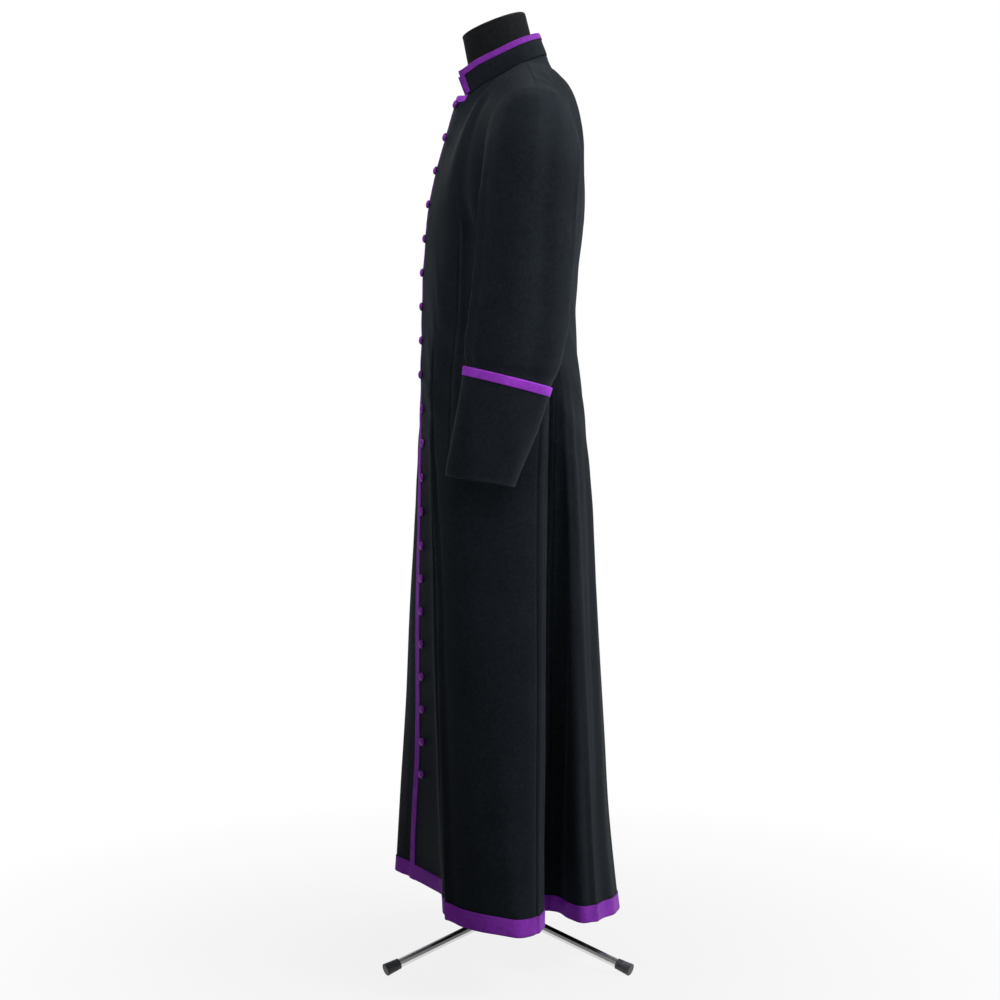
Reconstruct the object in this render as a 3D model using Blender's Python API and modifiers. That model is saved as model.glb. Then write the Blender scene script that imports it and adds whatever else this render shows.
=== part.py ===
"""Cassock on a limbless dress form with a tripod stand.

Metres, +Z up, the front of the garment towards -Y and the wearer's left towards +X.
The black cloth is a thin wall lofted between rings: an oval at the waist turns into the
folded outline of the hem, and above the armpits each panel runs up to its neckline,
shoulder seam and armhole. Trim lies on the cloth it is sewn to.
"""
import math
from collections import namedtuple

import bmesh
import bpy
import numpy as np
from mathutils import Vector

# ------------------------------------------------------------------ driving dimensions
POLE_Y = 0.0097        # the pole stands this far behind the middle of the whole box
CLOTH = 0.0015         # wall of the black cloth
TRIM = 0.0010          # wall of the coloured trim
GAP = 0.0004           # left between two pieces where they are sewn together
TOP_GAP = 0.0006       # the same along the shoulder and neck seams
LIFT = 0.0004          # left between a panel and the trim that lies on it

HEM_Z = 0.112          # mean height of the hem
HEM_SLOPE = 0.179      # the hem drops this much for each metre towards the back
WAIST_Z = 0.960        # below this the skirt falls into folds
ARMPIT_Z = 1.235       # foot of the armholes
SIDE_SEAM_DEG = 98.8   # the side seam's place at the chest, round from centre front
OVAL = 0.90            # 1 is an ellipse, less is squarer
FOLD_GROWTH = 1.3      # how late the folds open on their way down
LOOSE_START = 0.75     # share of the drop to the hem where the last button lets go
LOOSE_SWING = (-0.0120, -0.0078)  # how far the front edge has swung forward at the hem
LOOSE_REACH = 0.05     # how wide the swinging part is to each side

UNDERLAP = 0.045       # right front that runs on under the left front
UNDERLAP_DROP = 0.0027  # how far it lies below the left front's face
DIP_START = 0.026      # the right front sinks between these distances from the left
DIP_END = 0.004        # front's edge
HEM_BAND_SHARE = 0.0267  # height of the hem's band, as a share of hem to armpits
EDGE_BAND = 0.0125     # width of the band down the left front's edge
NOTCH_BAND_SHARE = 0.045  # height of the band under the neckline, as a share of the yoke
CUFF_BAND = 0.015
COLLAR_BAND = 0.0105
COLLAR_HEIGHT = 0.0405
COLLAR_TAPER = 0.05    # how much narrower the collar's top is than its foot
RIGHT_SETBACK = 0.0085  # the collar's right end stops this much further back
TRIM_START = 0.06      # share of the collar's height where its end bands begin

BUTTON_COUNT = 21
BUTTON_TOP_Z = 1.4470
BUTTON_PITCH = 0.0573  # measured along the cloth, from one button to the next
LOWER_COUNT = 7        # buttons at the bottom that sit
LOWER_PITCH = 0.0552   # this far apart instead
BUTTON_RADIUS = 0.0072
BUTTON_RISE = 0.0052
BUTTON_INSET = 0.0225  # from the left front's edge to a button's middle
BUTTON_LIFT = 0.0012   # a button stands on its shank this far off the cloth
BUTTON_STEPS = 10

POLE_RADIUS = 0.0125
LEG_RADIUS = 0.0075
LEG_RISE = 0.28        # climb of a leg towards the pole, metre for metre
LEG_TURN = 175.0       # heading of the first leg, degrees round from +X
FOOT_REACH = 0.2355    # from the pole to the middle of a foot's outer end
FOOT_AXIS_Z = 0.0088   # height of that point; the floor cuts the foot's rim flat
FOOT_LENGTH = 0.0265
FOOT_RADIUS = 0.0106   # at the outer end
FOOT_MOUTH_RADIUS = 0.0089
FOOT_BEVEL = 0.0010
HUB_RADIUS = 0.026
HUB_BOTTOM = 0.052
HUB_TOP = 0.118
HUB_BEVEL = 0.006
SOCKET_GAP = 0.0004    # between a leg and the foot or hub it is plugged into
ROUND_STEPS = 24       # sides of the pole, the hub and the feet

Level = namedtuple("Level", "height half_width front back")
LEVELS = [
    Level(0.1120, 0.250, 0.1950, 0.1925),
    Level(0.1760, 0.244, 0.1922, 0.1848),
    Level(0.2815, 0.233, 0.1874, 0.1742),
    Level(0.4036, 0.219, 0.1802, 0.1672),
    Level(0.5420, 0.202, 0.1726, 0.1587),
    Level(0.6804, 0.185, 0.1638, 0.1509),
    Level(0.7834, 0.172, 0.1580, 0.1444),
    Level(0.8689, 0.163, 0.1534, 0.1365),
    Level(0.9541, 0.156, 0.1480, 0.1278),
    Level(1.0051, 0.153, 0.1466, 0.1198),
    Level(1.0729, 0.152, 0.1442, 0.1132),
    Level(1.1574, 0.157, 0.1417, 0.1160),
    Level(1.2350, 0.163, 0.1366, 0.1245),
]

# One row for each line that runs down the skirt: the degrees round from centre front at
# the chest and at the waist, and where it ends on the hem.
FoldLine = namedtuple("FoldLine", "name chest waist hem_x hem_y")
FOLD_LINES = [
    FoldLine("left front edge", -4, 3, 0.029, -0.1632),
    FoldLine("left front, soft", 12, 14, 0.063, -0.1378),
    FoldLine("left front valley", 26, 22, 0.104, -0.1160),
    FoldLine("left side fold", 38, 29, 0.217, -0.1180),
    FoldLine("left side, widest", 66, 68, 0.269, -0.0090),
    FoldLine("left pleat edge", 88, 113, 0.195, 0.0410),
    FoldLine("left pleat floor, front", 94, 119, 0.108, 0.0500),
    FoldLine("left pleat floor, back", 103, 124, 0.098, 0.0735),
    FoldLine("left pleat lip", 108, 128, 0.120, 0.0885),
    FoldLine("left back fold", 116, 135, 0.135, 0.1090),
    FoldLine("left back, soft", 130, 146, 0.119, 0.1310),
    FoldLine("left back", 152, 162, 0.068, 0.1660),
    FoldLine("centre back", 180, 180, 0.000, 0.1965),
    FoldLine("right back", 208, 198, -0.071, 0.1680),
    FoldLine("right back, soft", 230, 214, -0.122, 0.1340),
    FoldLine("right back fold", 244, 225, -0.139, 0.1120),
    FoldLine("right pleat lip", 252, 232, -0.122, 0.0900),
    FoldLine("right pleat floor, back", 257, 236, -0.099, 0.0750),
    FoldLine("right pleat floor, front", 266, 241, -0.109, 0.0510),
    FoldLine("right pleat edge", 272, 247, -0.192, 0.0430),
    FoldLine("right side, widest", 294, 293, -0.269, -0.0120),
    FoldLine("right side fold", 318, 330, -0.212, -0.1130),
    FoldLine("right front valley", 329, 337, -0.112, -0.1230),
    FoldLine("right front, soft", 335, 343, -0.066, -0.1650),
    FoldLine("right front ridge", 349, 350, -0.017, -0.1925),
]

NeckPoint = namedtuple("NeckPoint", "name x y z")
NECKLINE = [
    NeckPoint("centre front", 0.0000, -0.0856, 1.4612),
    NeckPoint("collar end", 0.0330, -0.0702, 1.4590),
    NeckPoint("front side", 0.0560, -0.0417, 1.4768),
    NeckPoint("side", 0.0685, -0.0130, 1.4905),
    NeckPoint("shoulder seam", 0.0700, 0.0230, 1.5090),
    NeckPoint("back side", 0.0560, 0.0500, 1.5215),
    NeckPoint("centre back", 0.0000, 0.0650, 1.5290),
]
SEAM_ROW = 4
BACK_ROW = 6
SHOULDER_POINT = (0.1960, 0.0290, 1.4455)
SHOULDER_SHARE = 0.5   # share of a panel's top edge that is neckline, the rest is shoulder
CORNER_REACH = 0.26    # how far round its corner the top edge is rounded for the cloth below
CORNER_FALL = 5        # and how fast that rounding begins below the edge

ArmholePoint = namedtuple("ArmholePoint", "x y z")
ARMHOLE_FRONT = [
    ArmholePoint(0.1630, 0.0190, 1.2350),
    ArmholePoint(0.1625, -0.0200, 1.2480),
    ArmholePoint(0.1650, -0.0450, 1.2880),
    ArmholePoint(0.1690, -0.0539, 1.3422),
    ArmholePoint(0.1740, -0.0495, 1.3871),
    ArmholePoint(0.1820, -0.0359, 1.4157),
    ArmholePoint(0.1900, -0.0165, 1.4350),
    ArmholePoint(0.1950, 0.0087, 1.4456),
    ArmholePoint(*SHOULDER_POINT),
]
ARMHOLE_BACK = [
    ArmholePoint(0.1630, 0.0190, 1.2350),
    ArmholePoint(0.1620, 0.0560, 1.2480),
    ArmholePoint(0.1630, 0.0820, 1.2900),
    ArmholePoint(0.1670, 0.0940, 1.3430),
    ArmholePoint(0.1705, 0.0921, 1.3801),
    ArmholePoint(0.1790, 0.0770, 1.4165),
    ArmholePoint(0.1882, 0.0590, 1.4388),
    ArmholePoint(*SHOULDER_POINT),
]

# Direction in which the cloth arrives at a panel's top edge, from its middle (share 0)
# to the shoulder point (share 1), for the wearer's left.
TopDirection = namedtuple("TopDirection", "share x y z")
FRONT_TOP = [
    TopDirection(0.00, 0.00, 0.22, 0.97),
    TopDirection(0.25, -0.15, 0.50, 0.80),
    TopDirection(0.50, -0.10, 0.95, 0.30),
    TopDirection(1.00, 0.00, 0.99, 0.12),
]
BACK_TOP = [
    TopDirection(0.00, 0.00, -0.45, 0.89),
    TopDirection(0.25, -0.05, -0.64, 0.76),
    TopDirection(0.50, 0.10, -0.93, -0.12),
    TopDirection(1.00, 0.00, -0.99, -0.12),
]

SleeveRing = namedtuple("SleeveRing", "z y half_depth half_thickness slope")
SLEEVE = [
    SleeveRing(1.2100, 0.0098, 0.0782, 0.0430, 0.00),
    SleeveRing(1.1360, 0.0030, 0.0793, 0.0430, 0.03),
    SleeveRing(1.0800, -0.0030, 0.0795, 0.0430, 0.08),
    SleeveRing(1.0350, -0.0105, 0.0785, 0.0425, 0.16),
    SleeveRing(0.9920, -0.0192, 0.0722, 0.0410, 0.24),
    SleeveRing(0.9100, -0.0405, 0.0655, 0.0380, 0.22),
    SleeveRing(0.8260, -0.0645, 0.0562, 0.0345, 0.17),
]
SLEEVE_X = 0.2120      # middle of the sleeve where it hangs clear of the armhole
SLEEVE_HEM_X = 0.2190  # and at its hem
CUFF_TOP_Z = 0.992
SLEEVE_HEM_Z = 0.826
CUFF_STEP = 0.0026     # the sleeve's wall lies this far inside the turned-back cuff
UNDERARM_GAP = 0.0014  # added under the arm to the gap between sleeve and panels

FormRing = namedtuple("FormRing", "y z half_width half_depth slope")
FORM = [
    FormRing(-0.010, 0.800, 0.122, 0.104, 0.00),
    FormRing(-0.010, 0.860, 0.138, 0.116, 0.00),
    FormRing(-0.014, 0.950, 0.137, 0.114, 0.00),
    FormRing(-0.018, 1.050, 0.130, 0.108, 0.00),
    FormRing(-0.012, 1.150, 0.138, 0.112, 0.00),
    FormRing(-0.004, 1.250, 0.149, 0.117, 0.00),
    FormRing(0.003, 1.330, 0.152, 0.106, 0.02),
    FormRing(0.010, 1.380, 0.149, 0.090, 0.05),
    FormRing(0.015, 1.418, 0.138, 0.072, 0.10),
    FormRing(0.016, 1.444, 0.112, 0.062, 0.18),
    FormRing(0.010, 1.464, 0.082, 0.060, 0.30),
    FormRing(0.000, 1.486, 0.062, 0.060, 0.42),
    FormRing(-0.0105, 1.522, 0.0565, 0.0585, 0.44),
    FormRing(-0.0232, 1.5770, 0.0530, 0.0562, 0.384),
]
FORM_SIDES = 28
CAP_THICKNESS = 0.0055
CAP_BEVEL = 0.0032
CAP_GAP = 0.0003       # between the form, its cap and the cap's knob
KNOB_RADIUS = 0.0034
KNOB_RISE = 0.0060

# ------------------------------------------------------------------------------ curves


def table_curve(where, at, rows, monotone=False):
    """Cubic through the rows of a table; each row's slope comes from its neighbours."""
    at = np.asarray(at, float)
    rows = np.asarray(rows, float)
    where = np.asarray(where, float)
    if monotone:
        secants = np.diff(rows) / np.diff(at)
        before, after = secants[:-1], secants[1:]
        inner = 2 * before * after / (before + after)
        slopes = np.concatenate([secants[:1], inner, secants[-1:]])
    else:
        slopes = np.gradient(rows, at, axis=0)
    low = np.clip(np.searchsorted(at, where) - 1, 0, len(at) - 2)
    step = at[low + 1] - at[low]
    u = np.clip((where - at[low]) / step, 0.0, 1.0)
    if rows.ndim > 1:
        u = u[..., None]
        step = step[..., None]
    return ((1 + 2 * u) * (1 - u) ** 2 * rows[low] + u * (1 - u) ** 2 * step * slopes[low]
            + u * u * (3 - 2 * u) * rows[low + 1] - u * u * (1 - u) * step * slopes[low + 1])


def distances(points, closed=False):
    """Length along the straight lines between points, at each of them."""
    points = np.asarray(points, float)
    if closed:
        points = np.vstack([points, points[:1]])
    steps = np.linalg.norm(np.diff(points, axis=0), axis=1)
    return np.concatenate([[0.0], np.cumsum(steps)])


def wrap_rows(at, rows, turn=0.0):
    """Repeat two rows past each end of a closed table; turn is what a lap adds."""
    rows = np.asarray(rows, float)
    lap = at[-1]
    wrapped_at = np.concatenate([at[-3:-1] - lap, at, at[1:3] + lap])
    wrapped = np.concatenate([rows[-2:] - turn, rows, rows[:3] + turn])
    return wrapped_at, wrapped


def hermite(start, end, leave, arrive, w):
    """Curve from start to end that leaves and arrives along the given vectors."""
    return ((1 + 2 * w) * (1 - w) ** 2 * start + w * (1 - w) ** 2 * leave
            + w * w * (3 - 2 * w) * end - w * w * (1 - w) * arrive)


def unit(vectors):
    return vectors / np.linalg.norm(vectors, axis=-1, keepdims=True)


# ------------------------------------------------------------- the body of the garment
HEM_POINTS = [(line.hem_x, line.hem_y) for line in FOLD_LINES]
STATIONS = distances(HEM_POINTS, closed=True)   # metres along the hem at each fold line
LAP = STATIONS[-1]


def around(station, column):
    """Degrees round from centre front of a station, at the chest or at the waist."""
    degrees = [getattr(line, column) for line in FOLD_LINES]
    at, rows = wrap_rows(STATIONS, degrees, 360.0)
    lap = np.floor(np.asarray(station, float) / LAP)
    return table_curve(station - lap * LAP, at, rows, monotone=True) + 360.0 * lap


def station_at(degrees):
    """Station whose place at the chest is this many degrees round from centre front."""
    trial = np.linspace(-0.05, LAP + 0.05, 20001)
    return float(np.interp(degrees, around(trial, "chest"), trial))


LEFT_SEAM = station_at(SIDE_SEAM_DEG)
RIGHT_SEAM = station_at(360.0 - SIDE_SEAM_DEG)


def level(height):
    """Half width, front depth and back depth of the plain oval at a height."""
    return table_curve(height, [row.height for row in LEVELS], [row[1:] for row in LEVELS])


def oval(degrees, height):
    """Point of the plain oval at a height, in plan."""
    angle = np.radians(degrees)
    sizes = level(height)
    sine = np.sign(np.sin(angle)) * np.abs(np.sin(angle)) ** OVAL
    cosine = np.sign(np.cos(angle)) * np.abs(np.cos(angle)) ** OVAL
    depth = np.where(cosine > 0, sizes[..., 1], sizes[..., 2])
    return np.stack([sizes[..., 0] * sine, -depth * cosine], axis=-1)


def hem_outline(station):
    """Point of the hem's folded outline, in plan."""
    at, rows = wrap_rows(STATIONS, HEM_POINTS)
    return table_curve(np.mod(station, LAP), at, rows)


def skirt_and_waist(station, height):
    """Below the armpits: the oval, opening into the hem's folds on the way down."""
    rise = np.clip((height - WAIST_Z) / (ARMPIT_Z - WAIST_Z), 0.0, 1.0)
    rise = rise * rise * (3 - 2 * rise)
    waist = around(station, "waist")
    degrees = waist + (around(station, "chest") - waist) * rise
    drop = np.clip((WAIST_Z - height) / (WAIST_Z - HEM_Z), 0.0, 1.0)
    fold = hem_outline(station) - oval(waist, np.full_like(waist, HEM_Z))
    plan = oval(degrees, height) + fold * (drop ** FOLD_GROWTH)[..., None]
    loose = np.clip((drop - LOOSE_START) / (1 - LOOSE_START), 0.0, 1.0)
    from_edge = np.mod(station + LAP / 2, LAP) - LAP / 2
    loose = loose * np.exp(-(from_edge / LOOSE_REACH) ** 2)
    plan = plan + np.asarray(LOOSE_SWING) * loose[..., None]
    return np.concatenate([plan, (height - HEM_SLOPE * plan[..., 1] * drop)[..., None]], -1)


NECK_LOOP = ([row[1:] for row in NECKLINE]
             + [(-row.x, row.y, row.z) for row in NECKLINE[-2:0:-1]])
NECK_AT, NECK_ROWS = wrap_rows(distances(NECK_LOOP, closed=True), NECK_LOOP)
NECK_SEAM = NECK_AT[2 + SEAM_ROW]
NECK_BACK = NECK_AT[2 + BACK_ROW]
NECK_END = NECK_AT[2 + 1]


def neckline(along):
    """Point of the neck seam, by its distance from centre front towards the left."""
    return table_curve(np.mod(along, 2 * NECK_BACK), NECK_AT, NECK_ROWS)


def top_edge(share, is_front):
    """A panel's top edge on the left: neckline first, then the shoulder seam."""
    neck_share = np.minimum(share / SHOULDER_SHARE, 1.0)
    along = np.where(is_front, NECK_SEAM * neck_share,
                     NECK_BACK + (NECK_SEAM - NECK_BACK) * neck_share)
    out = np.maximum(share - SHOULDER_SHARE, 0.0) / (1 - SHOULDER_SHARE)
    corner = neckline(np.asarray(NECK_SEAM))
    return neckline(along) + (np.asarray(SHOULDER_POINT) - corner) * out[..., None]


def top_direction(share, is_front):
    """Direction in which the cloth arrives at its top edge."""
    front = table_curve(share, [row.share for row in FRONT_TOP], [row[1:] for row in FRONT_TOP])
    back = table_curve(share, [row.share for row in BACK_TOP], [row[1:] for row in BACK_TOP])
    return unit(np.where(is_front[..., None], front, back))


def rounded_top(share, is_front):
    """The top edge with its corner beside the neck rounded off."""
    reach = CORNER_REACH * 4 * share * (1 - share)
    return np.mean([top_edge(share + reach * step, is_front)
                    for step in np.linspace(-1, 1, 9)], axis=0)


def rising(degrees, share, is_front, w):
    """Plain curve from the chest oval up to the top edge, on the left.

    Below its edge the cloth follows the rounded top, so the corner leaves no crease.
    """
    chest = np.full_like(degrees, ARMPIT_Z)
    foot, below = [np.concatenate([oval(degrees, height), height[..., None]], -1)
                   for height in (chest, chest - 0.02)]
    edge = top_edge(share, is_front)
    head = rounded_top(share, is_front)
    reach = np.linalg.norm(head - foot, axis=-1, keepdims=True)
    curve = hermite(foot, head, unit(foot - below) * reach,
                    top_direction(share, is_front) * reach, w)
    return curve + (edge - head) * w ** CORNER_FALL


def armhole(w, is_front):
    """Edge of the armhole on the left, from its foot (0) to the shoulder point (1)."""
    front_at = distances(ARMHOLE_FRONT)
    back_at = distances(ARMHOLE_BACK)
    front = table_curve(w * front_at[-1], front_at, ARMHOLE_FRONT)
    back = table_curve(w * back_at[-1], back_at, ARMHOLE_BACK)
    foot = np.append(oval(np.asarray(SIDE_SEAM_DEG), np.asarray(ARMPIT_Z)), ARMPIT_Z)
    settle = (foot - np.asarray(ARMHOLE_FRONT[0])) * (1 - w[..., None])
    return np.where(is_front[..., None], front, back) + settle


def yoke(station, w):
    """Above the armpits, from the chest oval (0) to the neckline and shoulder (1)."""
    turned = np.mod(around(station, "chest") + 180.0, 360.0) - 180.0
    side = np.where(turned < 0, -1.0, 1.0)
    degrees = np.abs(turned)
    is_front = (station < LEFT_SEAM) | (station > RIGHT_SEAM)
    share = np.where(is_front, degrees / SIDE_SEAM_DEG,
                     (180.0 - degrees) / (180.0 - SIDE_SEAM_DEG))
    share = np.clip(share, 0.0, 1.0)
    edge = np.full_like(degrees, SIDE_SEAM_DEG)
    w3 = w[..., None]
    plain = rising(degrees, share, is_front, w3)
    plain_edge = rising(edge, np.ones_like(share), is_front, w3)
    points = plain + (armhole(w, is_front) - plain_edge) * (share ** 3)[..., None]
    points[..., 0] *= side
    return points


def surface(station, rise):
    """Outer face of the body: rise is 0 at the hem, 1 at the armpits and 2 at the top."""
    station, rise = np.broadcast_arrays(np.asarray(station, float), np.asarray(rise, float))
    height = HEM_Z + (ARMPIT_Z - HEM_Z) * np.clip(rise, 0.0, 1.0)
    lower = skirt_and_waist(station, height)
    upper = yoke(station, np.clip(rise - 1.0, 0.0, 1.0))
    return np.where((rise <= 1.0)[..., None], lower, upper)


def outward(face, first, second, low, high, step=2e-4):
    """Unit normal of a surface of two parameters; the second stays within its range."""
    along = face(first + step, second) - face(first - step, second)
    up = face(first, np.minimum(second + step, high)) - face(first, np.maximum(second - step, low))
    return unit(np.cross(along, up))


def underlap_drop(station):
    """How far the right front has sunk on its way under the left front."""
    share = np.clip((station - (LAP - DIP_START)) / (DIP_START - DIP_END), 0.0, 1.0)
    return UNDERLAP_DROP * share * share * (3 - 2 * share)


def cloth(station, rise, lift=0.0):
    """Face of the body's cloth, moved out by lift; the right front dips at its underlap."""
    station, rise = np.broadcast_arrays(np.asarray(station, float), np.asarray(rise, float))
    out = lift - underlap_drop(station)
    return surface(station, rise) + outward(surface, station, rise, 0.0, 2.0) * out[..., None]


def station_inside(rises, distance):
    """Station that lies this far in from the left front's edge, at each rise."""
    trial = np.linspace(0.0, 0.09, 181)
    points = surface(trial[None, :], rises[:, None])
    steps = np.linalg.norm(np.diff(points, axis=1), axis=-1)
    reached = np.hstack([np.zeros((len(rises), 1)), np.cumsum(steps, axis=1)])
    return np.array([np.interp(distance, row, trial) for row in reached])


# ----------------------------------------------------------------------- mesh building
def clear_scene():
    for item in list(bpy.data.objects):
        bpy.data.objects.remove(item, do_unlink=True)


def collection(name):
    made = bpy.data.collections.new(name)
    bpy.context.scene.collection.children.link(made)
    return made


def material(name, colour, roughness, metallic=0.0):
    made = bpy.data.materials.new(name)
    made.use_nodes = True
    shader = made.node_tree.nodes["Principled BSDF"]
    shader.inputs["Base Color"].default_value = (*colour, 1.0)
    shader.inputs["Roughness"].default_value = roughness
    shader.inputs["Metallic"].default_value = metallic
    return made


def add_object(name, data, finish):
    item = bpy.data.objects.new(name, data)
    PARTS.objects.link(item)
    item.parent = AXIS
    if isinstance(data, bpy.types.Mesh):
        data.shade_smooth()
        data.set_sharp_from_angle(angle=math.radians(40))
    if not data.materials:
        data.materials.append(finish)
    return item


def loft_mesh(name, rows, closed=False, capped=False, keep=None):
    """Quads between rows of points; closed joins the last column to the first, and
    keep leaves out the quads where it is False."""
    rows = np.asarray(rows)
    count, across = rows.shape[:2]
    index = np.arange(count * across).reshape(count, across)
    if closed:
        index = np.hstack([index, index[:, :1]])
    quads = np.stack([index[:-1, :-1], index[:-1, 1:], index[1:, 1:], index[1:, :-1]], -1)
    quads = quads.reshape(-1, 4) if keep is None else quads[keep]
    faces = [tuple(map(int, quad)) for quad in quads]
    if capped:
        faces.append(tuple(map(int, index[0, :across][::-1])))
        faces.append(tuple(map(int, index[-1, :across])))
    used = np.unique(quads)
    place = {int(old): new for new, old in enumerate(used)}
    faces = [tuple(place[corner] for corner in face) for face in faces]
    mesh = bpy.data.meshes.new(name)
    mesh.from_pydata(rows.reshape(-1, 3)[used].tolist(), [], faces)
    mesh.update()
    return mesh


def sheet_object(name, rows, finish, thickness, closed=False, keep=None):
    """A wall of cloth: the rows are its outer face, Solidify gives it its thickness."""
    item = add_object(name, loft_mesh(name, rows, closed, keep=keep), finish)
    wall = item.modifiers.new("wall", "SOLIDIFY")
    wall.thickness = thickness
    wall.offset = -1.0
    wall.use_even_offset = True
    return item


def mirrored(rows):
    """The same rows for the wearer's right, with their faces still pointing out."""
    return rows[:, ::-1] * np.array([-1.0, 1.0, 1.0])


def turned_mesh(name, profile):
    mesh = bpy.data.meshes.new(name)
    edges = [(i, i + 1) for i in range(len(profile) - 1)]
    mesh.from_pydata([(radius, 0.0, height) for radius, height in profile], edges, [])
    return mesh


def turned_object(name, mesh, finish, steps):
    item = add_object(name, mesh, finish)
    screw = item.modifiers.new("turn", "SCREW")
    screw.steps = steps
    screw.render_steps = steps
    screw.use_merge_vertices = True
    screw.merge_threshold = 0.00005
    screw.use_smooth_shade = True
    return item


def tube_curve(name, points, radius):
    curve = bpy.data.curves.new(name, "CURVE")
    curve.dimensions = "3D"
    curve.bevel_depth = radius
    curve.bevel_resolution = 3
    curve.use_fill_caps = True
    spline = curve.splines.new("POLY")
    spline.points.add(len(points) - 1)
    for place, point in zip(spline.points, points):
        place.co = (*point, 1.0)
    return curve


def curve_to_mesh(item):
    """Replace a curve object by its mesh, with the caps welded on."""
    graph = bpy.context.evaluated_depsgraph_get()
    mesh = bpy.data.meshes.new_from_object(item.evaluated_get(graph))
    edit = bmesh.new()
    edit.from_mesh(mesh)
    bmesh.ops.remove_doubles(edit, verts=edit.verts, dist=0.00002)
    edit.to_mesh(mesh)
    edit.free()
    made = bpy.data.objects.new(item.name + "_mesh", mesh)
    made.matrix_world = item.matrix_world
    bpy.data.objects.remove(item, do_unlink=True)
    return made


# ------------------------------------------------------------------------------ panels
BODY_RISES = np.array([0.0, HEM_BAND_SHARE, 0.11, 0.20, 0.30, 0.40, 0.50, 0.59, 0.67, 0.735,
                       0.79, 0.86, 0.93, 1.0])
YOKE_RISES = np.array([1.09, 1.21, 1.35, 1.50, 1.66, 1.82, 1.93, 2.0 - NOTCH_BAND_SHARE, 2.0])
RISES = np.concatenate([BODY_RISES, YOKE_RISES])
NECK_FRONT_DEG = SIDE_SEAM_DEG * SHOULDER_SHARE
NECK_END_DEG, COLLAR_BAND_DEG, RIGHT_END_DEG, RIGHT_BAND_DEG = [
    NECK_FRONT_DEG * (NECK_END + further) / NECK_SEAM
    for further in (0.0, COLLAR_BAND, RIGHT_SETBACK, RIGHT_SETBACK + COLLAR_BAND)]
NECK_BACK_DEG = 180.0 - (180.0 - SIDE_SEAM_DEG) * SHOULDER_SHARE
INNER_COLUMN = 0.0320  # a column of both fronts, this far in from the left front's edge
COLUMN_SPACING = 0.047
SKIN = 1e-6


def columns_between(first, last, fixed):
    """Stations from first to last that pass through the fixed ones, evenly between them."""
    stops = sorted([first, last] + [stop for stop in fixed if first < stop < last])
    columns = [first]
    for low, high in zip(stops, stops[1:]):
        count = max(1, round((high - low) / COLUMN_SPACING))
        columns += [low + (high - low) * step / count for step in range(1, count + 1)]
    return np.array(columns)


def seam_margin(rows, left=0.0, right=0.0):
    """Draw the first and last columns in by a margin along their rows."""
    rows = rows.copy()
    rows[:, 0] += unit(rows[:, 1] - rows[:, 0]) * left
    rows[:, -1] += unit(rows[:, -2] - rows[:, -1]) * right
    return rows


def panel_stations():
    """Station of each point of the three panels, by row and column.

    The columns run down every fold line, seam and corner of the neckline; those at the
    front edge keep a constant distance from it instead.
    """
    folds = list(STATIONS[1:-1])
    neck_corners = [station_at(degrees) for degrees in (COLLAR_BAND_DEG, NECK_FRONT_DEG)]
    far_corners = [station_at(360.0 - degrees) for degrees in (NECK_FRONT_DEG, RIGHT_BAND_DEG)]
    collar_end = station_at(NECK_END_DEG)
    left = columns_between(collar_end, LEFT_SEAM - SKIN, neck_corners + folds[1:])
    back_corners = [station_at(NECK_BACK_DEG), station_at(360.0 - NECK_BACK_DEG)]
    back = columns_between(LEFT_SEAM + SKIN, RIGHT_SEAM - SKIN, back_corners + folds)
    right = columns_between(RIGHT_SEAM + SKIN, station_at(360.0 - RIGHT_END_DEG),
                            far_corners + folds)
    dip = LAP - np.array([DIP_START, (DIP_START + DIP_END) / 2, DIP_END])
    right = np.concatenate([right[right < dip[0] - 0.008], dip])

    edge = np.stack([0.0 * RISES, station_inside(RISES, EDGE_BAND),
                     station_inside(RISES, INNER_COLUMN)], axis=1)
    every = np.ones((len(RISES), 1))
    return {"front_left": np.hstack([edge, every * left]),
            "back": every * back,
            "front_right": np.hstack([every * right, LAP + edge[:, 1:],
                                      every * (LAP + UNDERLAP)])}


PANELS = panel_stations()
SEAM_MARGINS = {"front_left": (0.0, GAP / 2), "back": (GAP / 2, GAP / 2),
                "front_right": (GAP / 2, 0.0)}


def panel_rows(panel, lift=0.0, margin=0.0):
    rows = cloth(PANELS[panel], RISES[:, None], lift)
    rows[-1] += unit(rows[-2] - rows[-1]) * (TOP_GAP / 2 + margin)
    low, high = SEAM_MARGINS[panel]
    return seam_margin(rows, low + margin * (low > 0), high + margin * (high > 0))


def build_panels():
    for panel in PANELS:
        sheet_object(panel, panel_rows(panel), CLOTH_BLACK, CLOTH)


# ------------------------------------------------------------------------------- trims
def cells(panel):
    """Station and rise of the middle of each cell of a panel's grid."""
    stations = PANELS[panel]
    middles = (stations[1:, 1:] + stations[:-1, :-1]) / 2
    rises = (RISES[1:] + RISES[:-1]) / 2
    return middles, np.broadcast_to(rises[:, None], middles.shape)


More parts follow.
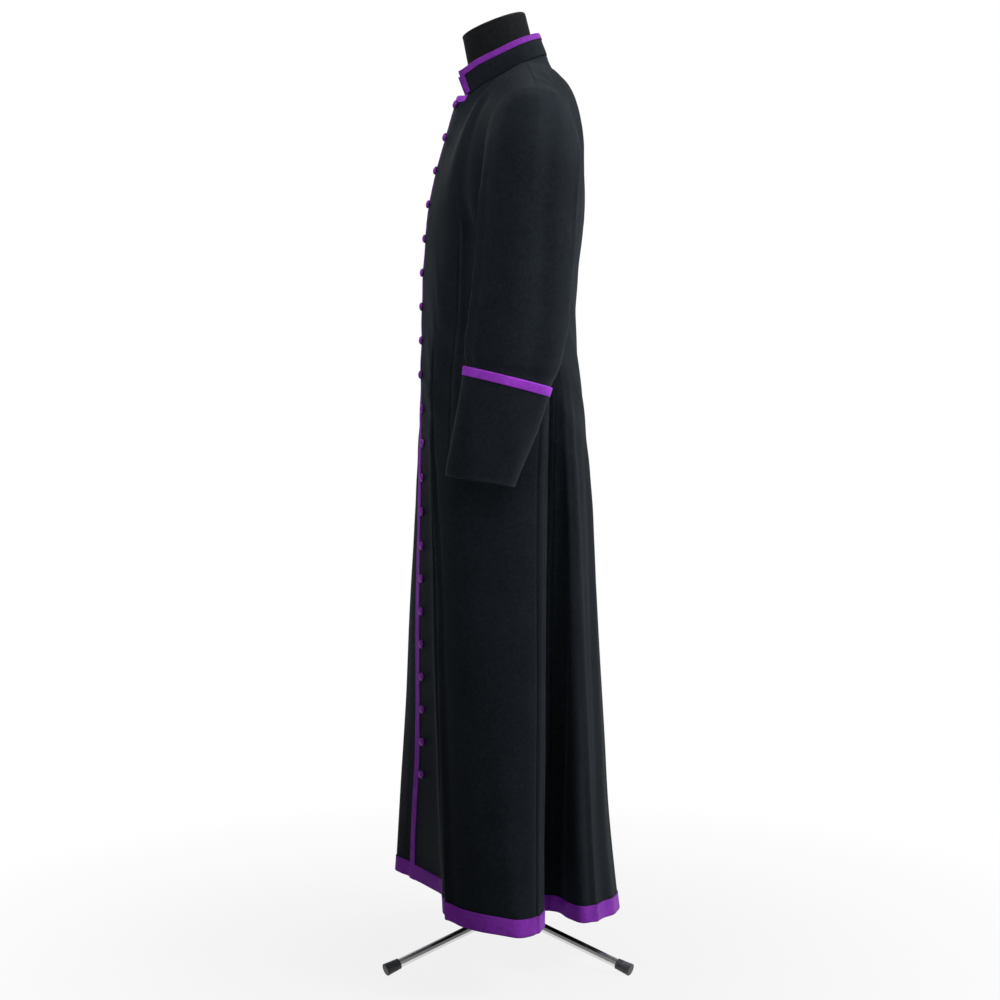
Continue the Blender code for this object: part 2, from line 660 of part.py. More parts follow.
def build_trims():
    """Bands on the panels' own cells: the left front's edge and notch, and the hem."""
    lift = LIFT + TRIM
    station, rise = cells("front_left")
    at_edge = np.zeros(station.shape, bool)
    at_edge[:, 0] = True
    at_notch = (rise > 2.0 - NOTCH_BAND_SHARE) & (station < station_at(NECK_END_DEG))
    at_hem = rise < HEM_BAND_SHARE
    rows = panel_rows("front_left", lift, margin=TRIM)
    sheet_object("front_trim", rows, TRIM_PURPLE, TRIM, keep=at_edge | at_notch)
    sheet_object("hem_trim_left", seam_margin(rows[:, 1:], left=GAP), TRIM_PURPLE, TRIM,
                 keep=at_hem[:, 1:])

    rows = panel_rows("back", lift, margin=TRIM)
    sheet_object("hem_trim_back", rows, TRIM_PURPLE, TRIM,
                 keep=cells("back")[1] < HEM_BAND_SHARE)

    station, rise = cells("front_right")
    shown = station < LAP - DIP_END
    rows = panel_rows("front_right", lift, margin=TRIM)
    sheet_object("hem_trim_right", rows, TRIM_PURPLE, TRIM,
                 keep=(rise < HEM_BAND_SHARE) & shown)
    beside = station > station_at(360.0 - RIGHT_END_DEG)
    sheet_object("neck_trim_right", rows, TRIM_PURPLE, TRIM,
                 keep=(rise > 2.0 - NOTCH_BAND_SHARE) & beside & shown)


# ------------------------------------------------------------------------------ collar
COLLAR_LEAN = unit(np.array([0.0, -0.345, 0.938]))


def collar_face(along, share):
    """Outer face of the stand collar: the neck seam carried up its leaning direction."""
    along, share = np.broadcast_arrays(np.asarray(along, float), np.asarray(share, float))
    points = neckline(along).copy()
    points[..., 0] *= 1 - COLLAR_TAPER * share
    rise = GAP + (COLLAR_HEIGHT - GAP) * share
    return points + COLLAR_LEAN * rise[..., None]


def collar_columns():
    """Distances along the neck seam of the panels' columns, from end to end of the collar."""
    left = around(PANELS["front_left"][-1], "chest")
    left = left[(left >= NECK_END_DEG - 1e-3) & (left <= NECK_FRONT_DEG + 1e-3)]
    left = NECK_SEAM * left / NECK_FRONT_DEG
    back = around(PANELS["back"][-1], "chest")
    back = back[(back > NECK_BACK_DEG + 1e-3) & (back < 360.0 - NECK_BACK_DEG - 1e-3)]
    back = NECK_BACK + (NECK_BACK - NECK_SEAM) * (back - 180.0) / (180.0 - NECK_BACK_DEG)
    right = 360.0 - around(PANELS["front_right"][-1], "chest")
    right = right[(right >= RIGHT_END_DEG - 1e-3) & (right <= NECK_FRONT_DEG + 1e-3)]
    right = 2 * NECK_BACK - NECK_SEAM * right / NECK_FRONT_DEG
    return np.concatenate([left, back, right])


def build_collar():
    along = collar_columns()
    low = 1 - COLLAR_BAND / COLLAR_HEIGHT
    share = np.array([0.0, low, 1.0])[:, None]
    sheet_object("collar", collar_face(along[None, :], share), CLOTH_BLACK, CLOTH)

    share = np.array([TRIM_START, low, 1.0])[:, None]
    where, height = np.broadcast_arrays(along[None, :], share)
    normal = outward(collar_face, where, height, 0.0, 1.0)
    rows = collar_face(where, height) + normal * (LIFT + TRIM)
    keep = np.ones((2, len(along) - 1), bool)
    keep[0, 1:-1] = False
    sheet_object("collar_trim", rows, TRIM_PURPLE, TRIM, keep=keep)


# ----------------------------------------------------------------------------- sleeves
def sleeve_ring(height, turn, out=0.0):
    """Outer face of the hanging sleeve: turn 0 faces the body, 0.25 the front."""
    heights = [row.z for row in SLEEVE[::-1]]
    sizes = table_curve(height, heights, [row[1:] for row in SLEEVE[::-1]])
    angle = 2 * math.pi * turn
    drop = np.clip((SLEEVE[0].z - height) / (SLEEVE[0].z - SLEEVE_HEM_Z), 0.0, 1.0)
    middle = SLEEVE_X + (SLEEVE_HEM_X - SLEEVE_X) * drop
    x = middle - (sizes[..., 2] + out) * np.cos(angle)
    depth = -(sizes[..., 1] + out) * np.sin(angle)
    tilt = np.arctan(sizes[..., 3])
    y = sizes[..., 0] + depth * np.cos(tilt)
    z = height - depth * np.sin(tilt)
    return np.stack(np.broadcast_arrays(x, y, z), -1)


def sleeve_head(turn, w):
    """From the armhole (0) over the sleeve's head to the first hanging ring (1)."""
    is_front = turn <= 0.5
    up = np.where(is_front, 2 * turn, 2 - 2 * turn)
    foot = armhole(up, is_front)
    head = sleeve_ring(np.full_like(turn, SLEEVE[0].z), turn)
    crown = 0.5 - 0.5 * np.cos(2 * math.pi * turn)
    sideways = np.sin(2 * math.pi * turn)
    leave = unit(np.stack([np.ones_like(crown), -0.15 * sideways, -0.45 + 0.05 * crown], -1))
    arrive = np.broadcast_to(np.array([0.0, -0.02, -1.0]), foot.shape)
    reach = np.linalg.norm(head - foot, axis=-1, keepdims=True)
    start = foot + leave * (GAP + UNDERARM_GAP * (1 - crown))[..., None]
    return hermite(start, head, leave * reach * 0.9, arrive * reach, w[..., None])


def build_sleeves():
    up = np.concatenate([[0.0], YOKE_RISES - 1.0])
    up = np.delete(up, -2)
    turns = np.concatenate([up / 2, 1 - up[-2:0:-1] / 2])[None, :]
    steps = np.array([0.0, 0.14, 0.30, 0.48, 0.66, 0.84, 1.0])[:, None]
    head = sleeve_head(np.repeat(turns, len(steps), 0), steps)
    heights = np.array([1.14, 1.07, 1.012, 0.996, CUFF_TOP_Z - CUFF_BAND, 0.93, 0.878,
                        SLEEVE_HEM_Z])[:, None]
    tube = sleeve_ring(heights, turns, np.where(heights < 1.0, -CUFF_STEP, 0.0))
    tube[-1, :, 2] += GAP
    rows = np.vstack([head, tube])[::-1]

    cuff_heights = np.array([SLEEVE_HEM_Z, 0.878, 0.93, CUFF_TOP_Z - CUFF_BAND,
                             CUFF_TOP_Z])[:, None]
    cuff = sleeve_ring(cuff_heights, turns)
    band = sleeve_ring(cuff_heights[-2:], turns, LIFT + TRIM)

    for side, shape in (("left", np.asarray), ("right", mirrored)):
        sheet_object(f"sleeve_{side}", shape(rows), CLOTH_BLACK, CLOTH, closed=True)
        sheet_object(f"cuff_{side}", shape(cuff), CLOTH_BLACK, CLOTH, closed=True)
        sheet_object(f"cuff_trim_{side}", shape(band), TRIM_PURPLE, TRIM, closed=True)


# ----------------------------------------------------------------------------- buttons
def build_buttons():
    """Domed covered buttons down the left front, each square to the cloth."""
    radius, rise = BUTTON_RADIUS, BUTTON_RISE
    profile = [(0.0, rise), (0.55 * radius, 0.88 * rise), (0.88 * radius, 0.56 * rise),
               (radius, 0.26 * rise), (0.86 * radius, 0.0), (0.0, 0.0)]
    mesh = turned_mesh("button", profile)
    rises = np.linspace(1.995, 0.1, 400)
    stations = station_inside(rises, BUTTON_INSET)
    middles = surface(stations, rises)
    along = distances(middles)
    first = np.interp(-BUTTON_TOP_Z, -middles[:, 2], along)
    for number in range(BUTTON_COUNT):
        lower = max(0, number + 1 + LOWER_COUNT - BUTTON_COUNT)
        place = first + (number - lower) * BUTTON_PITCH + lower * LOWER_PITCH
        rise_at = np.interp([place], along, rises)
        station = np.interp(rise_at, rises[::-1], stations[::-1])
        place = cloth(station, rise_at, BUTTON_LIFT)[0]
        normal = outward(surface, station, rise_at, 0.0, 2.0)[0]
        item = turned_object(f"button_{number + 1:02d}", mesh, TRIM_PURPLE, BUTTON_STEPS)
        item.location = Vector(place)
        item.rotation_mode = "QUATERNION"
        item.rotation_quaternion = Vector(normal).to_track_quat("Z", "Y")


# ------------------------------------------------------------------ dress form and stand
def form_ring(where, degrees, shrink=0.0):
    sizes = table_curve(where, range(len(FORM)), FORM)
    angle = np.radians(degrees)
    tilt = np.arctan(sizes[..., 4])
    depth = (sizes[..., 3] - shrink) * -np.cos(angle)
    x = (sizes[..., 2] - shrink) * np.sin(angle)
    return np.stack(np.broadcast_arrays(
        x, sizes[..., 0] + depth * np.cos(tilt), sizes[..., 1] + depth * np.sin(tilt)), -1)


def build_form():
    degrees = (np.arange(FORM_SIDES) * 360.0 / FORM_SIDES)[None, :]
    last = len(FORM) - 1
    where = np.concatenate([np.arange(5.0), np.linspace(5.0, last, 2 * (last - 5) + 1)])[:, None]
    rows = form_ring(where, degrees)
    add_object("form_torso", loft_mesh("form_torso", rows, True, True), FORM_BLACK)

    top = FORM[-1]
    axis = unit(np.array([0.0, -top.slope, 1.0]))
    rim, inner_rim = [form_ring(where[-1:], degrees, shrink) for shrink in (0.0, CAP_BEVEL)]
    rows = np.vstack([rim + axis * CAP_GAP, rim + axis * (CAP_THICKNESS - CAP_BEVEL),
                      inner_rim + axis * CAP_THICKNESS])
    add_object("form_neck_cap", loft_mesh("form_neck_cap", rows, True, True), CAP_BLACK)

    radius, rise = KNOB_RADIUS, KNOB_RISE
    profile = [(0.0, rise), (0.6 * radius, 0.85 * rise), (radius, 0.35 * rise),
               (0.9 * radius, 0.0), (0.0, 0.0)]
    knob = turned_object("form_cap_knob", turned_mesh("form_cap_knob", profile), CAP_BLACK, 16)
    knob.location = Vector((0.0, top.y, top.z)) + Vector(axis) * (CAP_THICKNESS + CAP_GAP)
    knob.rotation_mode = "QUATERNION"
    knob.rotation_quaternion = Vector(axis).to_track_quat("Z", "Y")


def leg_point(number, reach):
    angle = math.radians(LEG_TURN + 120.0 * number)
    climb = FOOT_AXIS_Z + LEG_RISE * (FOOT_REACH - reach)
    return Vector((reach * math.cos(angle), reach * math.sin(angle), climb))


def cut(name, item, cutter):
    hole = item.modifiers.new(name, "BOOLEAN")
    hole.operation = "DIFFERENCE"
    hole.object = cutter


def add_cutter(cutter):
    cutter.hide_render = True
    cutter.display_type = "WIRE"
    CUTTERS.objects.link(cutter)
    cutter.parent = AXIS
    return cutter


def floor_cutter():
    """A slab under the floor that cuts the feet flat where they stand."""
    reach, depth = 0.3, 0.05
    low, high = [[(x, y, z) for x, y in ((-reach, -reach), (reach, -reach), (reach, reach),
                                         (-reach, reach))] for z in (-depth, 0.0)]
    mesh = loft_mesh("floor", [low, high], closed=True, capped=True)
    return add_cutter(bpy.data.objects.new("floor", mesh))


def build_stand():
    bpy.ops.mesh.primitive_cylinder_add(
        vertices=ROUND_STEPS, radius=POLE_RADIUS, depth=FORM[0].z - HUB_TOP - 2 * CAP_GAP)
    pole = bpy.context.object
    pole.name = "stand_pole"
    pole.location.z = (FORM[0].z + HUB_TOP) / 2
    for owner in list(pole.users_collection):
        owner.objects.unlink(pole)
    PARTS.objects.link(pole)
    pole.parent = AXIS
    pole.data.shade_smooth()
    pole.data.set_sharp_from_angle(angle=math.radians(40))
    pole.data.materials.append(CHROME)

    profile = [(0.0, HUB_TOP), (HUB_RADIUS - HUB_BEVEL, HUB_TOP),
               (HUB_RADIUS, HUB_TOP - HUB_BEVEL), (HUB_RADIUS, HUB_BOTTOM + HUB_BEVEL),
               (HUB_RADIUS - HUB_BEVEL, HUB_BOTTOM), (0.0, HUB_BOTTOM)]
    hub = turned_object("stand_hub", turned_mesh("stand_hub", profile), CHROME, ROUND_STEPS)

    foot_profile = [(0.0, FOOT_LENGTH), (FOOT_MOUTH_RADIUS - FOOT_BEVEL, FOOT_LENGTH),
                    (FOOT_MOUTH_RADIUS, FOOT_LENGTH - FOOT_BEVEL),
                    (FOOT_RADIUS, 3 * FOOT_BEVEL), (FOOT_RADIUS, FOOT_BEVEL),
                    (FOOT_RADIUS - FOOT_BEVEL, 0.0), (0.0, 0.0)]
    foot_mesh = turned_mesh("foot", foot_profile)
    floor = floor_cutter()
    leg_ends = np.array([FOOT_REACH - 0.004, 0.016])
    for number in range(3):
        ends = [leg_point(number, reach) for reach in leg_ends]
        curve = tube_curve(f"leg_{number + 1}", ends, LEG_RADIUS)
        add_object(f"leg_{number + 1}", curve, CHROME)

        foot = turned_object(f"foot_{number + 1}", foot_mesh, RUBBER, ROUND_STEPS)
        foot.location = leg_point(number, FOOT_REACH)
        foot.rotation_mode = "QUATERNION"
        foot.rotation_quaternion = (ends[1] - ends[0]).to_track_quat("Z", "Y")
        cut("floor", foot, floor)
        longer = [leg_point(number, reach)
                  for reach in leg_ends + np.array([SOCKET_GAP, -SOCKET_GAP])]
        for target in (hub, foot):
            bore = tube_curve("bore", longer, LEG_RADIUS + SOCKET_GAP)
            bore_item = bpy.data.objects.new("bore", bore)
            CUTTERS.objects.link(bore_item)
            bpy.context.view_layer.update()
            cut("socket", target, add_cutter(curve_to_mesh(bore_item)))


# ------------------------------------------------------------------------------- build
clear_scene()
PARTS = collection("cassock")
CUTTERS = collection("cutters")
AXIS = bpy.data.objects.new("stand_axis", None)
AXIS.location.y = POLE_Y
PARTS.objects.link(AXIS)

CLOTH_BLACK = material("black_wool", (0.012, 0.014, 0.018), 0.85)
TRIM_PURPLE = material("purple_silk", (0.110, 0.012, 0.220), 0.45)
FORM_BLACK = material("form_jersey", (0.015, 0.015, 0.017), 0.80)
CAP_BLACK = material("form_cap", (0.020, 0.020, 0.022), 0.60)
CHROME = material("chrome", (0.75, 0.76, 0.78), 0.12, 1.0)
RUBBER = material("black_rubber", (0.020, 0.020, 0.020), 0.55)

build_panels()
build_trims()
build_collar()
build_sleeves()
build_buttons()
build_form()
build_stand()
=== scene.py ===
import math

import bmesh
import bpy
import numpy as np
from mathutils import Matrix


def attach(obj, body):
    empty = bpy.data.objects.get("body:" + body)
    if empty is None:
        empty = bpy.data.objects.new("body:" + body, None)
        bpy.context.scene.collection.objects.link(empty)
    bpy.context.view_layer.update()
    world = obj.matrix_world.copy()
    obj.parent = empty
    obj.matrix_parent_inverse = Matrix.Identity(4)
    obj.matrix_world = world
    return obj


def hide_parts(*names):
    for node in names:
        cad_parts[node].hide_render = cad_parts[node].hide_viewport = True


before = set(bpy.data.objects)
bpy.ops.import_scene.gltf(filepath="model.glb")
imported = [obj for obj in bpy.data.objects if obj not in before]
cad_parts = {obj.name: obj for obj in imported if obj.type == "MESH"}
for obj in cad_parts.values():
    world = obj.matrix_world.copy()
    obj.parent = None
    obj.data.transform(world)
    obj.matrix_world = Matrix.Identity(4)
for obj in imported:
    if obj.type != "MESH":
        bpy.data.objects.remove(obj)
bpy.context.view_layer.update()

# ------------------------------------------------------------------------------ studio
# A pale floor with no edge in view, seven soft lights, the strongest of them behind the
# garment, and a faint light from all round. The camera looks at the wearer's left side
# from a little in front of it.
POLE_Y = 0.0097        # the stand's pole, and with it the garment, from the origin
VIEW_TURN = math.radians(85.0)
VIEW_DOWN = math.radians(3.24)
VIEW_DISTANCE = 3.0
VIEW_ASIDE = -0.0136
VIEW_HEIGHT = 0.954
VIEW_LENS = 63.54      # millimetres, on a sensor 36 mm wide
scene = bpy.context.scene
scene.view_settings.view_transform = "Standard"

towards_camera = np.array([math.sin(VIEW_TURN), -math.cos(VIEW_TURN), 0.0])
camera_right = np.array([math.cos(VIEW_TURN), math.sin(VIEW_TURN), 0.0])
camera = bpy.data.objects.new("camera", bpy.data.cameras.new("camera"))
camera.data.sensor_width = 36.0
camera.data.lens = VIEW_LENS
camera.location = (towards_camera * VIEW_DISTANCE + camera_right * VIEW_ASIDE
                   + np.array([0.0, POLE_Y, VIEW_HEIGHT]))
camera.rotation_euler = (math.radians(90.0) - VIEW_DOWN, 0.0, VIEW_TURN)
scene.collection.objects.link(camera)
scene.camera = camera


def add_node(tree, kind, inputs=(), **settings):
    """A shader node with its settings; an input is a value or the socket that feeds it."""
    made = tree.nodes.new(kind)
    for name, value in settings.items():
        setattr(made, name, value)
    for name, value in dict(inputs).items():
        if isinstance(value, bpy.types.NodeSocket):
            tree.links.new(value, made.inputs[name])
        else:
            made.inputs[name].default_value = value
    return made


def set_sockets(shader, values):
    """Constant values on a shader's own sockets."""
    for socket, value in values.items():
        shader.inputs[socket].default_value = value


def soft_light(name, turn, height, distance, size, watts, aim, spread):
    """A square area light, turned this many degrees from the front round the object, and
    aimed at a height on its axis. Spread is how wide its beam opens, in degrees."""
    lamp = bpy.data.lights.new(name, "AREA")
    lamp.size = size
    lamp.energy = watts
    lamp.spread = math.radians(spread)
    item = bpy.data.objects.new(name, lamp)
    angle = math.radians(turn)
    place = np.array([math.sin(angle) * distance, -math.cos(angle) * distance, height])
    away = place - np.array([0.0, 0.0, aim])
    level_part = math.hypot(away[0], away[1])
    item.location = place
    item.rotation_euler = (math.atan2(level_part, away[2]), 0.0,
                           math.atan2(away[1], away[0]) + math.pi / 2)
    scene.collection.objects.link(item)


# Name, turn, height, distance, size, watts, height aimed at and spread.
soft_light("light_back", 182.0, 2.5, 1.8, 0.8, 10.0, 1.0, 130.0)
soft_light("light_back_low", 195.0, 1.3, 2.0, 0.8, 2.5, 0.8, 120.0)
soft_light("light_back_side", 150.0, 2.2, 2.1, 0.8, 13.0, 0.9, 90.0)
soft_light("light_side", 105.0, 2.3, 2.2, 0.7, 1.0, 1.30, 40.0)
soft_light("light_side_low", 70.0, 1.8, 2.6, 0.8, 1.1, 0.7, 60.0)
soft_light("light_front", 30.0, 2.4, 1.8, 0.7, 2.15, 1.36, 50.0)
soft_light("light_far", 285.0, 2.5, 2.2, 1.2, 6.0, 1.0, 140.0)

world = bpy.data.worlds.new("studio")
scene.world = world
world.use_nodes = True
sky = world.node_tree
sky.nodes.clear()
camera_ray = add_node(sky, "ShaderNodeLightPath")
direction = add_node(sky, "ShaderNodeSeparateXYZ",
                     {0: add_node(sky, "ShaderNodeTexCoord").outputs["Generated"]})
upper_light = add_node(sky, "ShaderNodeMapRange",
                       {"Value": direction.outputs["Z"], "From Min": 0.05, "From Max": 0.45,
                        "To Min": 0.008, "To Max": 0.03}, interpolation_type="SMOOTHSTEP")
reflected = add_node(sky, "ShaderNodeMapRange",
                     {"Value": direction.outputs["Z"], "From Min": 0.02, "From Max": 0.30,
                      "To Min": 0.16, "To Max": 0.30}, interpolation_type="SMOOTHSTEP")
strength = add_node(sky, "ShaderNodeMix",
                    {0: camera_ray.outputs["Is Glossy Ray"], 2: upper_light.outputs[0],
                     3: reflected.outputs[0]})
around_light = add_node(sky, "ShaderNodeBackground",
                        {"Color": (1, 1, 1, 1), "Strength": strength.outputs[0]})
backdrop = add_node(sky, "ShaderNodeBackground", {"Color": (1, 1, 1, 1), "Strength": 1.0})
seen = add_node(sky, "ShaderNodeMixShader", {0: camera_ray.outputs["Is Camera Ray"],
                                             1: around_light.outputs[0],
                                             2: backdrop.outputs[0]})
add_node(sky, "ShaderNodeOutputWorld", {"Surface": seen.outputs[0]})

FLOOR_HALF = 14.0      # half the floor's width: its edge is never in view
floor_mesh = bpy.data.meshes.new("floor")
floor_mesh.from_pydata([(-FLOOR_HALF, -FLOOR_HALF, 0), (FLOOR_HALF, -FLOOR_HALF, 0),
                        (FLOOR_HALF, FLOOR_HALF, 0), (-FLOOR_HALF, FLOOR_HALF, 0)], [],
                       [(0, 1, 2, 3)])
floor = bpy.data.objects.new("floor", floor_mesh)
scene.collection.objects.link(floor)
floor_finish = bpy.data.materials.new("pale_floor")
floor_finish.use_nodes = True
floor_tree = floor_finish.node_tree
floor_shader = floor_tree.nodes["Principled BSDF"]
set_sockets(floor_shader, {"Base Color": (0.35, 0.35, 0.35, 1.0), "Roughness": 0.9,
                           "Specular IOR Level": 0.1})
floor_place = add_node(floor_tree, "ShaderNodeTexCoord")
from_middle = add_node(floor_tree, "ShaderNodeVectorMath", {0: floor_place.outputs["Object"]},
                       operation="LENGTH")
brightened = add_node(floor_tree, "ShaderNodeMapRange",
                      {"Value": from_middle.outputs["Value"], "From Min": 0.2,
                       "From Max": 1.2, "To Min": 0.86, "To Max": 1.0})
glow = add_node(floor_tree, "ShaderNodeEmission", {"Color": (1, 1, 1, 1), "Strength": 1.0})
floor_ray = add_node(floor_tree, "ShaderNodeLightPath")
mirrored_ray = add_node(floor_tree, "ShaderNodeMath",
                        {0: floor_ray.outputs["Is Camera Ray"],
                         1: floor_ray.outputs["Is Glossy Ray"]}, operation="MAXIMUM")
seen_share = add_node(floor_tree, "ShaderNodeMath",
                      {0: brightened.outputs[0], 1: mirrored_ray.outputs[0]},
                      operation="MULTIPLY")
swept = add_node(floor_tree, "ShaderNodeMixShader",
                 {0: seen_share.outputs[0], 1: floor_shader.outputs[0], 2: glow.outputs[0]})
floor_tree.links.new(swept.outputs[0], floor_tree.nodes["Material Output"].inputs["Surface"])
floor_mesh.materials.append(floor_finish)

# -------------------------------------------------------------------- black wool panels
# The body of the cassock: a left front, a right front that runs on under it, and a back,
# cut from fine black worsted twill. The panels are joined at the side and shoulder seams
# and hang from the shoulders into soft folds, with a deep pleat behind the left side.
CLOTH = 0.0015         # wall of the black cloth
TRIM = 0.0010          # wall of the coloured trim
LIFT = 0.0004          # left between a panel and the trim that lies on it
SEAM_GAP = 0.0004      # left between two panels at a side seam
TOP_GAP = 0.0006       # and between front and back at the shoulder
HEM_Z, WAIST_Z, ARMPIT_Z = 0.112, 0.960, 1.235
HEM_SLOPE = 0.179      # the hem drops this much for each metre towards the back
SIDE_SEAM_DEG = 98.8   # side seams at the chest, degrees round from centre front
OVAL = 0.90            # power of sine and cosine that fills out the plain oval
FOLD_GROWTH = 1.3      # power by which folds deepen towards the hem
# The overlap's edge swings free low down: from this share of the drop, by this much
# sideways and forwards at the hem, within this reach of the edge.
LOOSE_START, LOOSE_SWING, LOOSE_REACH = 0.75, (-0.0120, -0.0078), 0.05
# The right front runs on this far under the left, and sinks by this much between these
# two distances before the left front's edge.
UNDERLAP, UNDERLAP_DROP, DIP_START, DIP_END = 0.045, 0.0027, 0.026, 0.004

# Height, half width, front depth and back depth of the plain oval.
LEVELS = np.array([
    (0.1120, 0.250, 0.1950, 0.1925), (0.1760, 0.244, 0.1922, 0.1848),
    (0.2815, 0.233, 0.1874, 0.1742), (0.4036, 0.219, 0.1802, 0.1672),
    (0.5420, 0.202, 0.1726, 0.1587), (0.6804, 0.185, 0.1638, 0.1509),
    (0.7834, 0.172, 0.1580, 0.1444), (0.8689, 0.163, 0.1534, 0.1365),
    (0.9541, 0.156, 0.1480, 0.1278), (1.0051, 0.153, 0.1466, 0.1198),
    (1.0729, 0.152, 0.1442, 0.1132), (1.1574, 0.157, 0.1417, 0.1160),
    (1.2350, 0.163, 0.1366, 0.1245)])
# Lines that run down the skirt: degrees round from centre front at the chest and at the
# waist, and where each ends on the hem.
FOLD_LINES = np.array([
    (-4, 3, 0.029, -0.1632), (12, 14, 0.063, -0.1378), (26, 22, 0.104, -0.1160),
    (38, 29, 0.217, -0.1180), (66, 68, 0.269, -0.0090), (88, 113, 0.195, 0.0410),
    (94, 119, 0.108, 0.0500), (103, 124, 0.098, 0.0735), (108, 128, 0.120, 0.0885),
    (116, 135, 0.135, 0.1090), (130, 146, 0.119, 0.1310), (152, 162, 0.068, 0.1660),
    (180, 180, 0.000, 0.1965), (208, 198, -0.071, 0.1680), (230, 214, -0.122, 0.1340),
    (244, 225, -0.139, 0.1120), (252, 232, -0.122, 0.0900), (257, 236, -0.099, 0.0750),
    (266, 241, -0.109, 0.0510), (272, 247, -0.192, 0.0430), (294, 293, -0.269, -0.0120),
    (318, 330, -0.212, -0.1130), (329, 337, -0.112, -0.1230), (335, 343, -0.066, -0.1650),
    (349, 350, -0.017, -0.1925)])
NECKLINE = np.array([
    (0.0000, -0.0856, 1.4612), (0.0330, -0.0702, 1.4590), (0.0560, -0.0417, 1.4768),
    (0.0685, -0.0130, 1.4905), (0.0700, 0.0230, 1.5090), (0.0560, 0.0500, 1.5215),
    (0.0000, 0.0650, 1.5290)])
SHOULDER_POINT = np.array([0.1960, 0.0290, 1.4455])
SHOULDER_SHARE = 0.5   # share of a top edge at which the shoulder seam begins
# The share of the edge over which its corner is evened out, and the power of the height
# by which the corner comes back.
CORNER_REACH, CORNER_FALL = 0.26, 5
ARMHOLE_FRONT = np.array([
    (0.1630, 0.0190, 1.2350), (0.1625, -0.0200, 1.2480), (0.1650, -0.0450, 1.2880),
    (0.1690, -0.0539, 1.3422), (0.1740, -0.0495, 1.3871), (0.1820, -0.0359, 1.4157),
    (0.1900, -0.0165, 1.4350), (0.1950, 0.0087, 1.4456), (0.1960, 0.0290, 1.4455)])
ARMHOLE_BACK = np.array([
    (0.1630, 0.0190, 1.2350), (0.1620, 0.0560, 1.2480), (0.1630, 0.0820, 1.2900),
    (0.1670, 0.0940, 1.3430), (0.1705, 0.0921, 1.3801), (0.1790, 0.0770, 1.4165),
    (0.1882, 0.0590, 1.4388), (0.1960, 0.0290, 1.4455)])
# Share of a panel's top edge, and the direction in which the cloth arrives there.
FRONT_TOP = np.array([(0.00, 0.00, 0.22, 0.97), (0.25, -0.15, 0.50, 0.80),
                      (0.50, -0.10, 0.95, 0.30), (1.00, 0.00, 0.99, 0.12)])
BACK_TOP = np.array([(0.00, 0.00, -0.45, 0.89), (0.25, -0.05, -0.64, 0.76),
                     (0.50, 0.10, -0.93, -0.12), (1.00, 0.00, -0.99, -0.12)])


def table_curve(where, at, rows, monotone=False):
    """Cubic through the rows of a table; each row's slope comes from its neighbours."""
    at, rows, where = [np.asarray(item, float) for item in (at, rows, where)]
    if monotone:
        secants = np.diff(rows) / np.diff(at)
        inner = 2 * secants[:-1] * secants[1:] / (secants[:-1] + secants[1:])
        slopes = np.concatenate([secants[:1], inner, secants[-1:]])
    else:
        slopes = np.gradient(rows, at, axis=0)
    low = np.clip(np.searchsorted(at, where) - 1, 0, len(at) - 2)
    step = at[low + 1] - at[low]
    u = np.clip((where - at[low]) / step, 0.0, 1.0)
    if rows.ndim > 1:
        u, step = u[..., None], step[..., None]
    return ((1 + 2 * u) * (1 - u) ** 2 * rows[low] + u * (1 - u) ** 2 * step * slopes[low]
            + u * u * (3 - 2 * u) * rows[low + 1] - u * u * (1 - u) * step * slopes[low + 1])


def distances(points, closed=False):
    """Length along the straight lines between points, at each of them."""
    points = np.asarray(points, float)
    if closed:
        points = np.vstack([points, points[:1]])
    steps = np.linalg.norm(np.diff(points, axis=0), axis=1)
    return np.concatenate([[0.0], np.cumsum(steps)])


def wrap_rows(at, rows, turn=0.0):
    """Repeat two rows past each end of a closed table; turn is what a lap adds."""
    rows = np.asarray(rows, float)
    wrapped_at = np.concatenate([at[-3:-1] - at[-1], at, at[1:3] + at[-1]])
    return wrapped_at, np.concatenate([rows[-2:] - turn, rows, rows[:3] + turn])


def hermite(start, end, leave, arrive, w):
    """Curve from start to end that leaves and arrives along the given vectors."""
    return ((1 + 2 * w) * (1 - w) ** 2 * start + w * (1 - w) ** 2 * leave
            + w * w * (3 - 2 * w) * end - w * w * (1 - w) * arrive)


def unit(vectors):
    """The same directions with a length of 1."""
    return vectors / np.linalg.norm(vectors, axis=-1, keepdims=True)


def matched(first, second):
    """Two tables of numbers, each spread to the shape of both."""
    return np.broadcast_arrays(np.asarray(first, float), np.asarray(second, float))


HEM_POINTS = FOLD_LINES[:, 2:]
STATIONS = distances(HEM_POINTS, closed=True)   # metres along the hem at each fold line
LAP = STATIONS[-1]


def around(station, column):
    """Degrees round from centre front of a station, at the chest (0) or the waist (1)."""
    at, rows = wrap_rows(STATIONS, FOLD_LINES[:, column], 360.0)
    lap = np.floor(np.asarray(station, float) / LAP)
    return table_curve(station - lap * LAP, at, rows, monotone=True) + 360.0 * lap


def station_at(degrees):
    """Station whose place at the chest is this many degrees round from centre front."""
    trial = np.linspace(-0.05, LAP + 0.05, 20001)
    return float(np.interp(degrees, around(trial, 0), trial))


LEFT_SEAM, RIGHT_SEAM = station_at(SIDE_SEAM_DEG), station_at(360.0 - SIDE_SEAM_DEG)


